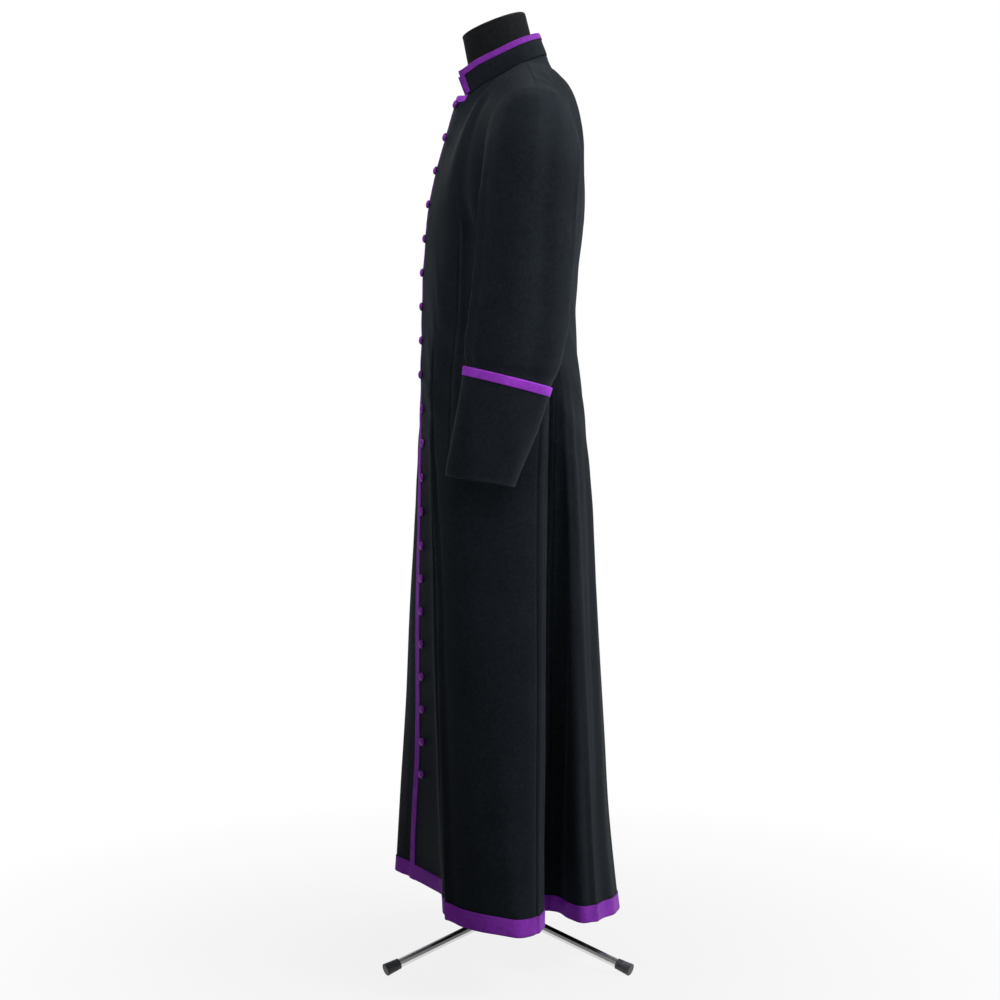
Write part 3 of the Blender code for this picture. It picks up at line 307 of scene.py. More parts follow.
def oval(degrees, height):
    """Point of the plain oval in plan: an ellipse with fuller corners, as sine and cosine
    are raised to a power below 1, and with one depth in front and another behind."""
    angle = np.radians(degrees)
    sizes = table_curve(height, LEVELS[:, 0], LEVELS[:, 1:])
    sine = np.sign(np.sin(angle)) * np.abs(np.sin(angle)) ** OVAL
    cosine = np.sign(np.cos(angle)) * np.abs(np.cos(angle)) ** OVAL
    depth = np.where(cosine > 0, sizes[..., 1], sizes[..., 2])
    return np.stack([sizes[..., 0] * sine, -depth * cosine], axis=-1)


def skirt_and_waist(station, height):
    """Below the armpits: the oval, opening into the hem's folds on the way down."""
    rise = np.clip((height - WAIST_Z) / (ARMPIT_Z - WAIST_Z), 0.0, 1.0)
    rise = rise * rise * (3 - 2 * rise)
    waist = around(station, 1)
    degrees = waist + (around(station, 0) - waist) * rise
    drop = np.clip((WAIST_Z - height) / (WAIST_Z - HEM_Z), 0.0, 1.01)
    at, rows = wrap_rows(STATIONS, HEM_POINTS)
    fold = table_curve(np.mod(station, LAP), at, rows) - oval(waist, np.full_like(waist, HEM_Z))
    plan = oval(degrees, height) + fold * (drop ** FOLD_GROWTH)[..., None]
    loose = np.clip((drop - LOOSE_START) / (1 - LOOSE_START), 0.0, 1.0)
    from_edge = np.mod(station + LAP / 2, LAP) - LAP / 2
    loose = loose * np.exp(-(from_edge / LOOSE_REACH) ** 2)
    plan = plan + np.asarray(LOOSE_SWING) * loose[..., None]
    return np.concatenate([plan, (height - HEM_SLOPE * plan[..., 1] * drop)[..., None]], -1)


NECK_LOOP = np.vstack([NECKLINE, NECKLINE[-2:0:-1] * [-1.0, 1.0, 1.0]])
NECK_AT, NECK_ROWS = wrap_rows(distances(NECK_LOOP, closed=True), NECK_LOOP)
NECK_END, NECK_SEAM, NECK_BACK = NECK_AT[3], NECK_AT[6], NECK_AT[8]


def neckline(along):
    """Point of the neck seam, by its distance from centre front towards the left."""
    return table_curve(np.mod(along, 2 * NECK_BACK), NECK_AT, NECK_ROWS)


def top_edge(share, is_front):
    """A panel's top edge on the left: neckline first, then the shoulder seam."""
    neck_share = np.minimum(share / SHOULDER_SHARE, 1.0)
    along = np.where(is_front, NECK_SEAM * neck_share,
                     NECK_BACK + (NECK_SEAM - NECK_BACK) * neck_share)
    out = np.maximum(share - SHOULDER_SHARE, 0.0) / (1 - SHOULDER_SHARE)
    return neckline(along) + (SHOULDER_POINT - neckline(NECK_SEAM)) * out[..., None]


def rising(degrees, share, is_front, w):
    """Plain curve from the chest oval up to the top edge, on the left. Below its edge the
    cloth follows the top with its corner rounded off, so the corner leaves no crease."""
    chest = np.full_like(degrees, ARMPIT_Z)
    foot, below = [np.concatenate([oval(degrees, height), height[..., None]], -1)
                   for height in (chest, chest - 0.02)]
    edge = top_edge(share, is_front)
    reach = CORNER_REACH * 4 * share * (1 - share)
    head = np.mean([top_edge(share + reach * step, is_front)
                    for step in np.linspace(-1, 1, 9)], axis=0)
    span = np.linalg.norm(head - foot, axis=-1, keepdims=True)
    direction = unit(np.where(is_front[..., None],
                              table_curve(share, FRONT_TOP[:, 0], FRONT_TOP[:, 1:]),
                              table_curve(share, BACK_TOP[:, 0], BACK_TOP[:, 1:])))
    return (hermite(foot, head, unit(foot - below) * span, direction * span, w)
            + (edge - head) * w ** CORNER_FALL)


def armhole(w, is_front):
    """Edge of the armhole on the left, from its foot (0) to the shoulder point (1)."""
    front_at, back_at = distances(ARMHOLE_FRONT), distances(ARMHOLE_BACK)
    front = table_curve(w * front_at[-1], front_at, ARMHOLE_FRONT)
    back = table_curve(w * back_at[-1], back_at, ARMHOLE_BACK)
    foot = np.append(oval(np.asarray(SIDE_SEAM_DEG), np.asarray(ARMPIT_Z)), ARMPIT_Z)
    return (np.where(is_front[..., None], front, back)
            + (foot - ARMHOLE_FRONT[0]) * (1 - w[..., None]))


def yoke(station, w):
    """Above the armpits, from the chest oval (0) to the neckline and shoulder (1)."""
    turned = np.mod(around(station, 0) + 180.0, 360.0) - 180.0
    degrees = np.abs(turned)
    is_front = (station < LEFT_SEAM) | (station > RIGHT_SEAM)
    share = np.clip(np.where(is_front, degrees / SIDE_SEAM_DEG,
                             (180.0 - degrees) / (180.0 - SIDE_SEAM_DEG)), 0.0, 1.0)
    edge = np.full_like(degrees, SIDE_SEAM_DEG)
    w3 = w[..., None]
    plain_edge = rising(edge, np.ones_like(share), is_front, w3)
    points = (rising(degrees, share, is_front, w3)
              + (armhole(w, is_front) - plain_edge) * (share ** 3)[..., None])
    points[..., 0] *= np.where(turned < 0, -1.0, 1.0)
    return points


def surface(station, rise):
    """Outer face of the body: rise is 0 at the hem, 1 at the armpits and 2 at the top."""
    station, rise = matched(station, rise)
    height = HEM_Z + (ARMPIT_Z - HEM_Z) * np.clip(rise, -0.01, 1.0)
    lower = skirt_and_waist(station, height)
    upper = yoke(station, np.clip(rise - 1.0, 0.0, 1.0))
    return np.where((rise <= 1.0)[..., None], lower, upper)


def outward(face, first, second, low, high, step=2e-4):
    """Unit normal of a surface of two parameters; the second stays within its range."""
    along = face(first + step, second) - face(first - step, second)
    above, below = np.minimum(second + step, high), np.maximum(second - step, low)
    return unit(np.cross(along, face(first, above) - face(first, below)))


def bump_across(offset, width):
    """Bell curve: 1 on the line, falling to nothing about two widths away."""
    return np.exp(-(offset / width) ** 2)


def faded(rise, low, high, soft):
    """1 between low and high, easing to 0 over soft on either side."""
    start = np.clip((rise - low) / soft + 1, 0, 1)
    end = np.clip((high - rise) / soft + 1, 0, 1)
    return (start * start * (3 - 2 * start)) * (end * end * (3 - 2 * end))


def strength_along(rise, rises, soft):
    """A line's strength at a rise: its ends fade, except an end at the hem."""
    return faded(rise, rises[0] if rises[0] > 0 else -1.0, rises[-1], soft)


# Each fold or pressed line: the rises and stations it runs through, its height outwards,
#  its half width, the rise over which its ends fade, and the strength of the painted highlight
#  along it.
DRAPE_LINES = [
    ([0.0, 0.16, 0.3, 0.45, 0.5, 0.58, 0.65, 0.72, 0.80],
     [0.2040, 0.2100, 0.2130, 0.2200, 0.217, 0.209, 0.206, 0.190, 0.160],
     0.0034, 0.0034, 0.05, 1.0),
    ([0.0, 0.16, 0.3, 0.5, 0.65, 0.80], [0.192, 0.198, 0.201, 0.204, 0.194, 0.148],
     -0.0034, 0.008, 0.06, 0),
    ([0.68, 0.76, 0.90], [0.090, 0.095, 0.090], 0.0012, 0.110, 0.08, 0.75),
    ([0.0, 0.16, 0.3, 0.5, 0.65, 0.80], [0.219, 0.225, 0.228, 0.231, 0.221, 0.175],
     -0.0022, 0.008, 0.06, 0),
    ([0.68, 0.7208, 0.7964, 0.8587, 0.9232, 0.9855, 1.03],
     [0.266, 0.2661, 0.2652, 0.2705, 0.2646, 0.2565, 0.252], -0.0012, 0.0022, 0.03, 0),
    ([0.68, 0.7964, 0.8587, 0.9232, 0.9855, 1.03],
     [0.275, 0.2742, 0.2795, 0.2736, 0.2655, 0.261], 0.0014, 0.0050, 0.03, 0.25),
    ([0.60, 0.72, 0.86, 0.98, 1.10], [0.300, 0.300, 0.302, 0.295, 0.285],
     -0.0040, 0.022, 0.10, 0),
    ([0.80, 0.95, 1.15, 1.45, 1.66], [0.262, 0.268, 0.276, 0.282, 0.290],
     -0.0068, 0.035, 0.14, 0),
    ([0.85, 1.1, 1.28, 1.5, 1.66, 1.80], [0.025, 0.023, 0.021, 0.021, 0.024, 0.028],
     0.0018, 0.015, 0.15, 0.4),
    ([0.0, 0.1, 0.3248, 0.5228, 0.6363, 0.7075, 0.76],
     [0.3735, 0.3764, 0.3808, 0.3808, 0.3822, 0.3867, 0.391], -0.0015, 0.0018, 0.03, 0),
    ([0.0, 0.1, 0.3248, 0.5228, 0.6363, 0.7075, 0.76],
     [0.3825, 0.3854, 0.3898, 0.3898, 0.3912, 0.3957, 0.400], 0.0014, 0.0050, 0.03, 0.45),
    ([0.0, 0.14, 0.32, 0.52, 0.66], [0.300, 0.301, 0.311, 0.326, 0.330],
     -0.0045, 0.034, 0.15, 0),
    ([0.0, 0.15, 0.35, 0.5, 0.70], [0.616, 0.611, 0.595, 0.584, 0.574],
     0.0034, 0.008, 0.12, 0.45),
    ([0.0, 0.2, 0.4, 0.60], [0.645, 0.643, 0.632, 0.628], -0.0030, 0.018, 0.15, 0),
    ([0.0, 0.2, 0.4, 0.60], [0.682, 0.680, 0.672, 0.668], 0.0030, 0.018, 0.15, 0.2),
    ([0.0, 0.35, 0.60, 0.75], [1.2790, 1.2780, 1.272, 1.285], 0.0045, 0.0065, 0.06, 0.5),
    ([0.0, 0.35, 0.60, 0.75], [1.3000, 1.2990, 1.292, 1.305], -0.0035, 0.012, 0.06, 0),
    ([0.70, 0.86, 1.03], [1.243, 1.238, 1.250], -0.0012, 0.0022, 0.03, 0),
    ([0.80, 0.98, 1.20, 1.50], [1.220, 1.212, 1.205, 1.198], -0.0055, 0.030, 0.12, 0),
    ([0.0, 0.33, 0.62, 0.74], [1.1075, 1.1025, 1.100, 1.096], -0.0015, 0.0018, 0.03, 0),
    ([0.0, 0.33, 0.62, 0.74], [1.0985, 1.0935, 1.091, 1.087], 0.0014, 0.0050, 0.03, 0.45),
    ([0.0, 0.3, 0.62], [0.872, 0.880, 0.888], 0.0042, 0.013, 0.12, 0.35),
    ([0.0, 0.3, 0.60], [0.826, 0.832, 0.838], -0.0030, 0.024, 0.15, 0),
    ([0.0, 0.3, 0.70], [0.742, 0.744, 0.745], -0.0036, 0.090, 0.15, 0),
    ([1.80, 1.95], [0.740, 0.740], -0.0038, 0.120, 0.07, 0),
    ([1.45, 1.66], [0.740, 0.740], 0.0022, 0.120, 0.10, 0),
]
# The deep pleat behind the left side: the station of each of its two hollows, and how deep
# it is at each rise.
PLEAT_HALF_WIDTH = 0.042
PLEAT_HOLLOWS = [
    (0.438, [0.04, 0.20, 0.35, 0.50, 0.62, 0.72, 0.84],
     [0.0, 0.002, 0.007, 0.012, 0.012, 0.007, 0.0]),
    (0.486, [0.0, 0.10, 0.35, 0.50, 0.64, 0.72, 0.84],
     [0.010, 0.020, 0.032, 0.034, 0.028, 0.018, 0.0])]
SEAM_DIP, SEAM_HALF_WIDTH = 0.0007, 0.0022   # how the cloth rolls in at a seam
# Faint flutes that grow towards the hem: height, number round a lap, lean and start.
FLUTES = [(0.0006, 17, 0.35, 0.0), (0.0004, 29, 0.9, 0.3)]
# Drag lines at the back of the neck: station of each corner, and the way to centre back.
NECK_CORNERS = [(0.530, 1.0), (0.957, -1.0)]
# The hem's sags below the folds at the side: station, depth as a share, half width.
HEM_SAGS = [(0.235, 0.0052, 0.045), (0.340, 0.0024, 0.070)]
SEAM_HIGHLIGHT_OFFSET = 0.0045   # from a side seam to the middle of the painted highlight strip on each side


def drape(station, rise):
    """How far the cloth stands out from its plain surface: the folds and pressed lines,
    the overlap falling back behind its edge, the deep pleat, faint flutes that grow towards
    the hem, creases at the waist, drag lines below the neck's corners, and the cloth
    rolling in at its seams."""
    station, rise = matched(station, rise)
    lapped = np.mod(station, LAP)
    out = np.zeros(station.shape)
    for rises, stations, height, width, soft, _ in DRAPE_LINES:
        line = np.interp(rise, rises, stations)
        out = out + (height * bump_across(lapped - line, width)
                     * strength_along(rise, rises, soft))
    # The overlap falls back over the 160 mm behind its edge, and at the hem round it.
    from_edge = np.mod(station + LAP / 2, LAP) - LAP / 2
    fallen = np.sin(np.pi * np.clip((from_edge + 0.008) / 0.168, 0.0, 1.0))
    out = out - 0.0080 * fallen * faded(rise, 0.20, 0.66, 0.14)
    out = out - 0.0036 * bump_across(from_edge + 0.030, 0.085) * faded(rise, -1.0, 0.26, 0.22)
    for middle, rises, depths in PLEAT_HOLLOWS:
        out = out - (np.interp(rise, rises, depths)
                     * bump_across(lapped - middle, PLEAT_HALF_WIDTH))
    low = np.clip(1.0 - rise, 0.0, 1.0)
    for height, count, lean, start in FLUTES:
        out = out + height * low * np.sin(2 * np.pi * (lapped / LAP * count + lean * rise
                                                       + start))
    # Fine creases at the waist.
    waist = bump_across(rise - 0.80, 0.16)
    out = out + 0.0007 * waist * np.sin(2 * np.pi * (rise * 14 + lapped * 9))
    for corner, way in NECK_CORNERS:
        beside = way * (lapped - corner)
        drag = bump_across(beside - 0.045, 0.038) * bump_across(rise - 1.88, 0.13)
        out = out + 0.0011 * drag * np.sin(2 * np.pi * (beside * 26 - rise * 8.5))
    # The side seams, a little puckered, and the shoulder and neck seams, a little eased.
    seam = np.minimum(np.abs(lapped - LEFT_SEAM), np.abs(lapped - RIGHT_SEAM))
    pucker = 1 + 0.35 * np.sin(rise * 260)
    out = out - SEAM_DIP * bump_across(seam, SEAM_HALF_WIDTH) * pucker
    below_top = (2.0 - rise) * 0.26
    eased = 1 + 0.3 * np.sin(lapped * 420)
    return out - SEAM_DIP * bump_across(below_top, SEAM_HALF_WIDTH) * eased


def body_painted_highlight(station, rise):
    """Painted highlight, standing in for the faint shine of pressed wool: along the crests of
    the folds, and in a narrow strip beside the side, shoulder and neck seams."""
    station, rise = matched(station, rise)
    lapped = np.mod(station, LAP)
    painted_highlight = np.zeros(station.shape)
    for rises, stations, height, width, soft, highlight_share in DRAPE_LINES:
        if highlight_share:
            line = np.interp(rise, rises, stations)
            painted_highlight = painted_highlight + (highlight_share * bump_across(lapped - line, width * 0.6)
                             * strength_along(rise, rises, soft))
    beside = np.minimum(np.abs(np.abs(lapped - LEFT_SEAM) - SEAM_HIGHLIGHT_OFFSET),
                        np.abs(np.abs(lapped - RIGHT_SEAM) - SEAM_HIGHLIGHT_OFFSET))
    painted_highlight = painted_highlight + 0.25 * bump_across(beside, SEAM_HALF_WIDTH)
    return np.clip(painted_highlight + 0.35 * bump_across(rise - 1.978, 0.010), 0, 1)


def underlap_drop(station):
    """How far the right front has sunk on its way under the left front."""
    share = np.clip((station - (LAP - DIP_START)) / (DIP_START - DIP_END), 0.0, 1.0)
    return UNDERLAP_DROP * share * share * (3 - 2 * share)


def cloth(station, rise, lift=0.0):
    """Face of the body's cloth, moved out by lift; the right front dips at its underlap,
    and the hem sags a little below the side's folds."""
    station, rise = matched(station, rise)
    lapped = np.mod(station, LAP)
    sag = sum(depth * bump_across(lapped - middle, width) for middle, depth, width in HEM_SAGS)
    rise = rise - sag * np.clip(1.0 - rise / 0.15, 0.0, 1.0)
    out = lift - underlap_drop(station) + drape(station, rise)
    return surface(station, rise) + outward(surface, station, rise, -0.01, 2.0) * out[..., None]


def station_beside(rises, distance, start=0.0):
    """Station that lies this far along the cloth from a starting one, at each rise."""
    trial = start + np.linspace(0.0, 0.12, 241)
    points = surface(trial[None, :], rises[:, None])
    steps = np.linalg.norm(np.diff(points, axis=1), axis=-1)
    reached = np.hstack([np.zeros((len(rises), 1)), np.cumsum(steps, axis=1)])
    return np.array([np.interp(distance, row, trial) for row in reached])


def close_lines(first, last, step, close=()):
    """Even steps from first to last, and finer ones beside each place in close."""
    fine = 0.001 * np.array([-6, -4, -2.6, -1.6, -0.8, 0, 0.8, 1.6, 2.6, 4, 6])
    even = np.linspace(first, last, max(2, round((last - first) / step) + 1))
    every = np.sort(np.concatenate([even] + [place + fine for place in close]))
    every = every[(every > first) & (every < last)]
    kept = [first]
    for line in every:
        if line - kept[-1] > 0.0005 and last - line > 0.0005:
            kept.append(line)
    return np.array(kept + [last])


def grid_mesh(name, points, closed=False, painted_highlight=None):
    """Quads between rows of points, with a UV map of lengths along the rows and up them;
    closed joins the last column to the first, and the painted highlight's share is kept at each
    point."""
    points = np.asarray(points, float)
    rows, columns = points.shape[:2]
    index = np.arange(rows * columns).reshape(rows, columns)
    across = np.linalg.norm(np.diff(points, axis=1), axis=-1)
    u = np.hstack([np.zeros((rows, 1)), np.cumsum(across, axis=1)])
    u = u[rows // 2:rows // 2 + 1] if closed else u - u[:, columns // 2:columns // 2 + 1]
    v = distances(points[:, columns // 2])[:, None]
    u, v = [np.broadcast_to(item, (rows, columns)) for item in (u, v)]
    if closed:
        index = np.hstack([index, index[:, :1]])
        u = np.hstack([u, u[:, -1:] + (u[:, -1:] - u[:, -2:-1])])
        v = np.hstack([v, v[:, :1]])

    def corners(table):
        """A table's values at the four corners of each quad."""
        return np.stack([table[:-1, :-1], table[:-1, 1:], table[1:, 1:], table[1:, :-1]], -1)

    quads, places = corners(index), np.stack([corners(u), corners(v)], -1)
    mesh = bpy.data.meshes.new(name)
    mesh.from_pydata(points.reshape(-1, 3).tolist(), [], quads.reshape(-1, 4).tolist())
    mesh.uv_layers.new(name="cloth").data.foreach_set("uv", places.ravel().astype(np.float32))
    highlight_share = np.zeros(rows * columns) if painted_highlight is None else np.asarray(painted_highlight, float)
    mesh.attributes.new("painted_highlight", "FLOAT", "POINT").data.foreach_set(
        "value", highlight_share.ravel().astype(np.float32))
    mesh.shade_smooth()
    mesh.update()
    return mesh


GARMENT_PLACE = Matrix.Translation((0.0, POLE_Y, 0.0))


def piece(name, mesh, finish, nodes=(), wall=None):
    """An object in the garment's place; a wall gives a sheet its thickness inwards."""
    mesh.transform(GARMENT_PLACE)
    item = bpy.data.objects.new(name, mesh)
    scene.collection.objects.link(item)
    mesh.materials.append(finish)
    if wall:
        thick = item.modifiers.new("wall", "SOLIDIFY")
        thick.thickness = wall
        thick.offset = -1.0
    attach(item, "root")
    if nodes:
        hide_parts(*nodes)
    return item


def group_of(name, inputs, outputs):
    """An empty node group with the sockets named."""
    group = bpy.data.node_groups.new(name, "ShaderNodeTree")
    for label, kind in inputs.items():
        group.interface.new_socket(label, in_out="INPUT", socket_type=kind)
    for label, kind in outputs.items():
        group.interface.new_socket(label, in_out="OUTPUT", socket_type=kind)
    return group, group.nodes.new("NodeGroupInput").outputs, group.nodes.new("NodeGroupOutput")


def math_node(tree, operation, *values):
    """One arithmetic step between values or sockets."""
    return add_node(tree, "ShaderNodeMath", dict(enumerate(values)),
                    operation=operation).outputs[0]


# Weave: diagonal ribs a pitch apart, broken up along their length, on a metric UV map.
# Slant 1 is a twill, slant 0 a plain cross rib.
WEAVE, given, put_out = group_of(
    "weave", {"Vector": "NodeSocketVector", "Pitch": "NodeSocketFloat",
              "Slant": "NodeSocketFloat"}, {"Height": "NodeSocketFloat"})
split = add_node(WEAVE, "ShaderNodeSeparateXYZ", {0: given["Vector"]})
turns = math_node(WEAVE, "DIVIDE", 2 * math.pi, given["Pitch"])
slanted = math_node(WEAVE, "MULTIPLY_ADD", split.outputs["X"], given["Slant"], split.outputs["Y"])
rib = math_node(WEAVE, "SINE", math_node(WEAVE, "MULTIPLY", slanted, turns))
cross = math_node(WEAVE, "SUBTRACT", split.outputs["X"], split.outputs["Y"])
yarn = math_node(WEAVE, "SINE", math_node(WEAVE, "MULTIPLY", cross, turns))
height = math_node(WEAVE, "MULTIPLY_ADD", yarn, 0.15,
                   math_node(WEAVE, "MULTIPLY_ADD", rib, 0.35, 0.5))
WEAVE.links.new(height, put_out.inputs["Height"])

# Tone: broad, medium and fine unevenness of dye, nap and handling, from 0 to 1.
TONE, given, put_out = group_of(
    "tone", {"Vector": "NodeSocketVector"},
    {"Broad": "NodeSocketFloat", "Nap": "NodeSocketFloat", "Slub": "NodeSocketFloat",
     "Fibre": "NodeSocketFloat"})
for label, scale, detail in (("Broad", 11.0, 4.0), ("Nap", 150.0, 3.0), ("Slub", 520.0, 1.0),
                             ("Fibre", 1400.0, 2.0)):
    cloud = add_node(TONE, "ShaderNodeTexNoise",
                     {"Vector": given["Vector"], "Scale": scale, "Detail": detail})
    TONE.links.new(cloud.outputs[0], put_out.inputs[label])

PAINTED_HIGHLIGHT_GAIN = 0.30       # how far the painted highlight lifts a cloth's colour from dark to light
MOTTLE_DEPTH = 0.0004   # depth of the soft unevenness of handled cloth

def toned_finish(name):
    """A new material with the tone patterns on object coordinates: the material, its node
    tree, its shader, the coordinates and the patterns' outputs."""
    finish = bpy.data.materials.new(name)
    finish.use_nodes = True
    tree = finish.node_tree
    coordinates = add_node(tree, "ShaderNodeTexCoord").outputs
    tone = add_node(tree, "ShaderNodeGroup", {"Vector": coordinates["Object"]},
                    node_tree=TONE).outputs
    return finish, tree, tree.nodes["Principled BSDF"], coordinates, tone


def colour_between(tree, shader, share, dark, light, clamp=True):
    """Base colour: dark where the share is 0, light where it is 1."""
    colour = add_node(tree, "ShaderNodeMix", {0: share, 6: (*dark, 1), 7: (*light, 1)},
                      data_type="RGBA", clamp_factor=clamp)
    tree.links.new(colour.outputs[2], shader.inputs["Base Color"])


def bump(tree, height, strength, distance, under=None):
    """Normal of a surface that rises by the height given, on top of the bump under it."""
    inputs = {"Height": height, "Strength": strength, "Distance": distance}
    if under:
        inputs["Normal"] = under
    return add_node(tree, "ShaderNodeBump", inputs).outputs[0]


def fabric(name, dark, light, pitch, slant, roughness, rough_swing, sheen, weave_depth,
           nap_depth, mix, specular, sheen_tint=(1, 1, 1), sheen_rough=0.5):
    """A woven finish: colour between dark and light by tone, weave and a painted highlight, a
    weave bump on the piece's metric UV map and finer bumps of nap on object coordinates. Mix
    gives the colour's shares of broad tone, nap, slubs and weave."""
    finish, tree, shader, coordinates, tone = toned_finish(name)
    weave = add_node(tree, "ShaderNodeGroup", {"Vector": coordinates["UV"], "Pitch": pitch,
                                               "Slant": slant}, node_tree=WEAVE)
    blend = math_node(tree, "MULTIPLY", tone["Broad"], mix[0])
    blend = math_node(tree, "MULTIPLY_ADD", tone["Nap"], mix[1], blend)
    blend = math_node(tree, "MULTIPLY_ADD", tone["Slub"], mix[2], blend)
    blend = math_node(tree, "MULTIPLY_ADD", weave.outputs["Height"], mix[3], blend)
    # Painted highlight: the mesh's highlight share, read from its attribute, lightens the base
    # colour.
    highlight_share = add_node(tree, "ShaderNodeAttribute", attribute_name="painted_highlight",
                      attribute_type="GEOMETRY")
    blend = math_node(tree, "MULTIPLY_ADD", highlight_share.outputs["Fac"], PAINTED_HIGHLIGHT_GAIN, blend)
    spread_out = add_node(tree, "ShaderNodeMapRange",
                          {"Value": blend, "From Min": 0.36, "From Max": 0.64,
                           "To Min": 0.0, "To Max": 1.0}, clamp=False)
    colour_between(tree, shader, math_node(tree, "MAXIMUM", spread_out.outputs[0], 0.0),
                   dark, light, clamp=False)
    rough = math_node(tree, "MULTIPLY_ADD", tone["Nap"], rough_swing,
                      roughness - rough_swing / 2)
    tree.links.new(rough, shader.inputs["Roughness"])
    mottle = bump(tree, tone["Nap"], 0.5, MOTTLE_DEPTH)
    nap = bump(tree, tone["Fibre"], 0.6, nap_depth, mottle)
    ribs = bump(tree, weave.outputs["Height"], 0.7, weave_depth, nap)
    tree.links.new(ribs, shader.inputs["Normal"])
    set_sockets(shader, {
        "Sheen Weight": sheen, "Sheen Roughness": sheen_rough,
        "Sheen Tint": (*sheen_tint, 1), "Specular Tint": (*sheen_tint, 1),
        "Specular IOR Level": specular})
    return finish


BLACK_WOOL = fabric("black_wool_twill", (0.0020, 0.0034, 0.0052), (0.0112, 0.0150, 0.0198),
                    pitch=0.0009, slant=1.0, roughness=0.68, rough_swing=0.14, sheen=0.05,
                    weave_depth=0.00025, nap_depth=0.00012, mix=(0.25, 0.28, 0.37, 0.10),
                    sheen_tint=(0.80, 0.90, 1.0), specular=0.06)

BODY_ROWS = np.concatenate([
    np.linspace(0.0, 0.035, 11)[:-1], np.linspace(0.035, 1.0, 205)[:-1],
    np.linspace(1.0, 1.97, 52)[:-1], [1.97, 1.976, 1.982, 1.987, 1.991, 1.994, 1.997, 2.0]])
SKIN = 1e-6             # keeps a panel's end lines on its own side of the seam
NECK_FRONT_DEG = SIDE_SEAM_DEG * SHOULDER_SHARE
RIGHT_SETBACK = 0.0085  # how much further back the collar's right end stands
COLLAR_LEFT = station_at(NECK_FRONT_DEG * NECK_END / NECK_SEAM)
COLLAR_RIGHT = station_at(360.0 - NECK_FRONT_DEG * (NECK_END + RIGHT_SETBACK) / NECK_SEAM)
# Stations of each panel's columns, closer together at its edges and pressed lines.
panel_lines = {
    "front_left": close_lines(0.0, LEFT_SEAM - SKIN, 0.0046,
                              [0.0, 0.205, 0.264, 0.378, 0.384, LEFT_SEAM]),
    "back": close_lines(LEFT_SEAM + SKIN, RIGHT_SEAM - SKIN, 0.0046, [LEFT_SEAM, RIGHT_SEAM]),
    "front_right": close_lines(RIGHT_SEAM + SKIN, LAP + UNDERLAP, 0.0050,
                               [RIGHT_SEAM, 1.104, LAP - 0.012]),
}
# Whether a panel's first and last columns stand back from a side seam.
seam_sides = {"front_left": (0.0, 1.0), "back": (1.0, 1.0), "front_right": (1.0, 0.0)}
panel_names = {"front_left": "left_front_cloth", "back": "back_cloth",
               "front_right": "right_front_cloth"}
for panel, stations in panel_lines.items():
    rows = cloth(stations[None, :], BODY_ROWS[:, None])
    rows[-1] += unit(rows[-2] - rows[-1]) * TOP_GAP / 2
    first, last = seam_sides[panel]
    rows[:, 0] += unit(rows[:, 1] - rows[:, 0]) * SEAM_GAP / 2 * first
    rows[:, -1] += unit(rows[:, -2] - rows[:, -1]) * SEAM_GAP / 2 * last
    # Painted highlight along the fold crests and beside the seams, kept on the mesh.
    highlight_share = body_painted_highlight(stations[None, :], BODY_ROWS[:, None])
    mesh = grid_mesh(panel_names[panel], rows, painted_highlight=highlight_share)
    piece(panel_names[panel], mesh, BLACK_WOOL, [panel], CLOTH)

# ------------------------------------------------------------------ purple silk bindings
# Straight strips of ribbed purple silk, folded round the raw edge of the cloth and stitched
# down beside their inner fold: down the left front and round its notch, along the hem of
# each panel, and on the neck of the right front.
EDGE_BAND = 0.0125          # width down the left front's edge
HEM_BAND_SHARE = 0.0230     # height of the hem's band, as a share of hem to armpits
NOTCH_BAND_SHARE = 0.045    # height of the band under the neckline, of the yoke
BAND_LIFT = LIFT + TRIM     # the band's face above the cloth's
STITCH_LIFT = BAND_LIFT + 0.0001
STITCH_INSIDE = 0.0016      # a row of stitches from its band's inner fold
FULL_FOLD, SHORT_FOLD = 180.0, 122.0   # how far a band goes round the cloth's edge
HEM_RETURN = 0.009          # and how far up behind it

SILK = {"slant": 0.0, "rough_swing": 0.10, "mix": (0.40, 0.25, 0.10, 0.25),
        "sheen_tint": (0.85, 0.35, 1.0), "sheen_rough": 0.35}
BAND_SILK = {"pitch": 0.0007, "weave_depth": 0.00012, "nap_depth": 0.00005, **SILK}
PURPLE_SILK = fabric("purple_ribbed_silk", (0.200, 0.026, 0.370), (0.390, 0.060, 0.680),
                     roughness=0.52, sheen=0.03, specular=0.12, **BAND_SILK)


def raised(face, line):
    """Points of a line on a face, and the way out of the face at each of them."""
    points = face(line[:, 0], line[:, 1], 0.0)
    return points, unit(face(line[:, 0], line[:, 1], 1e-3) - points)


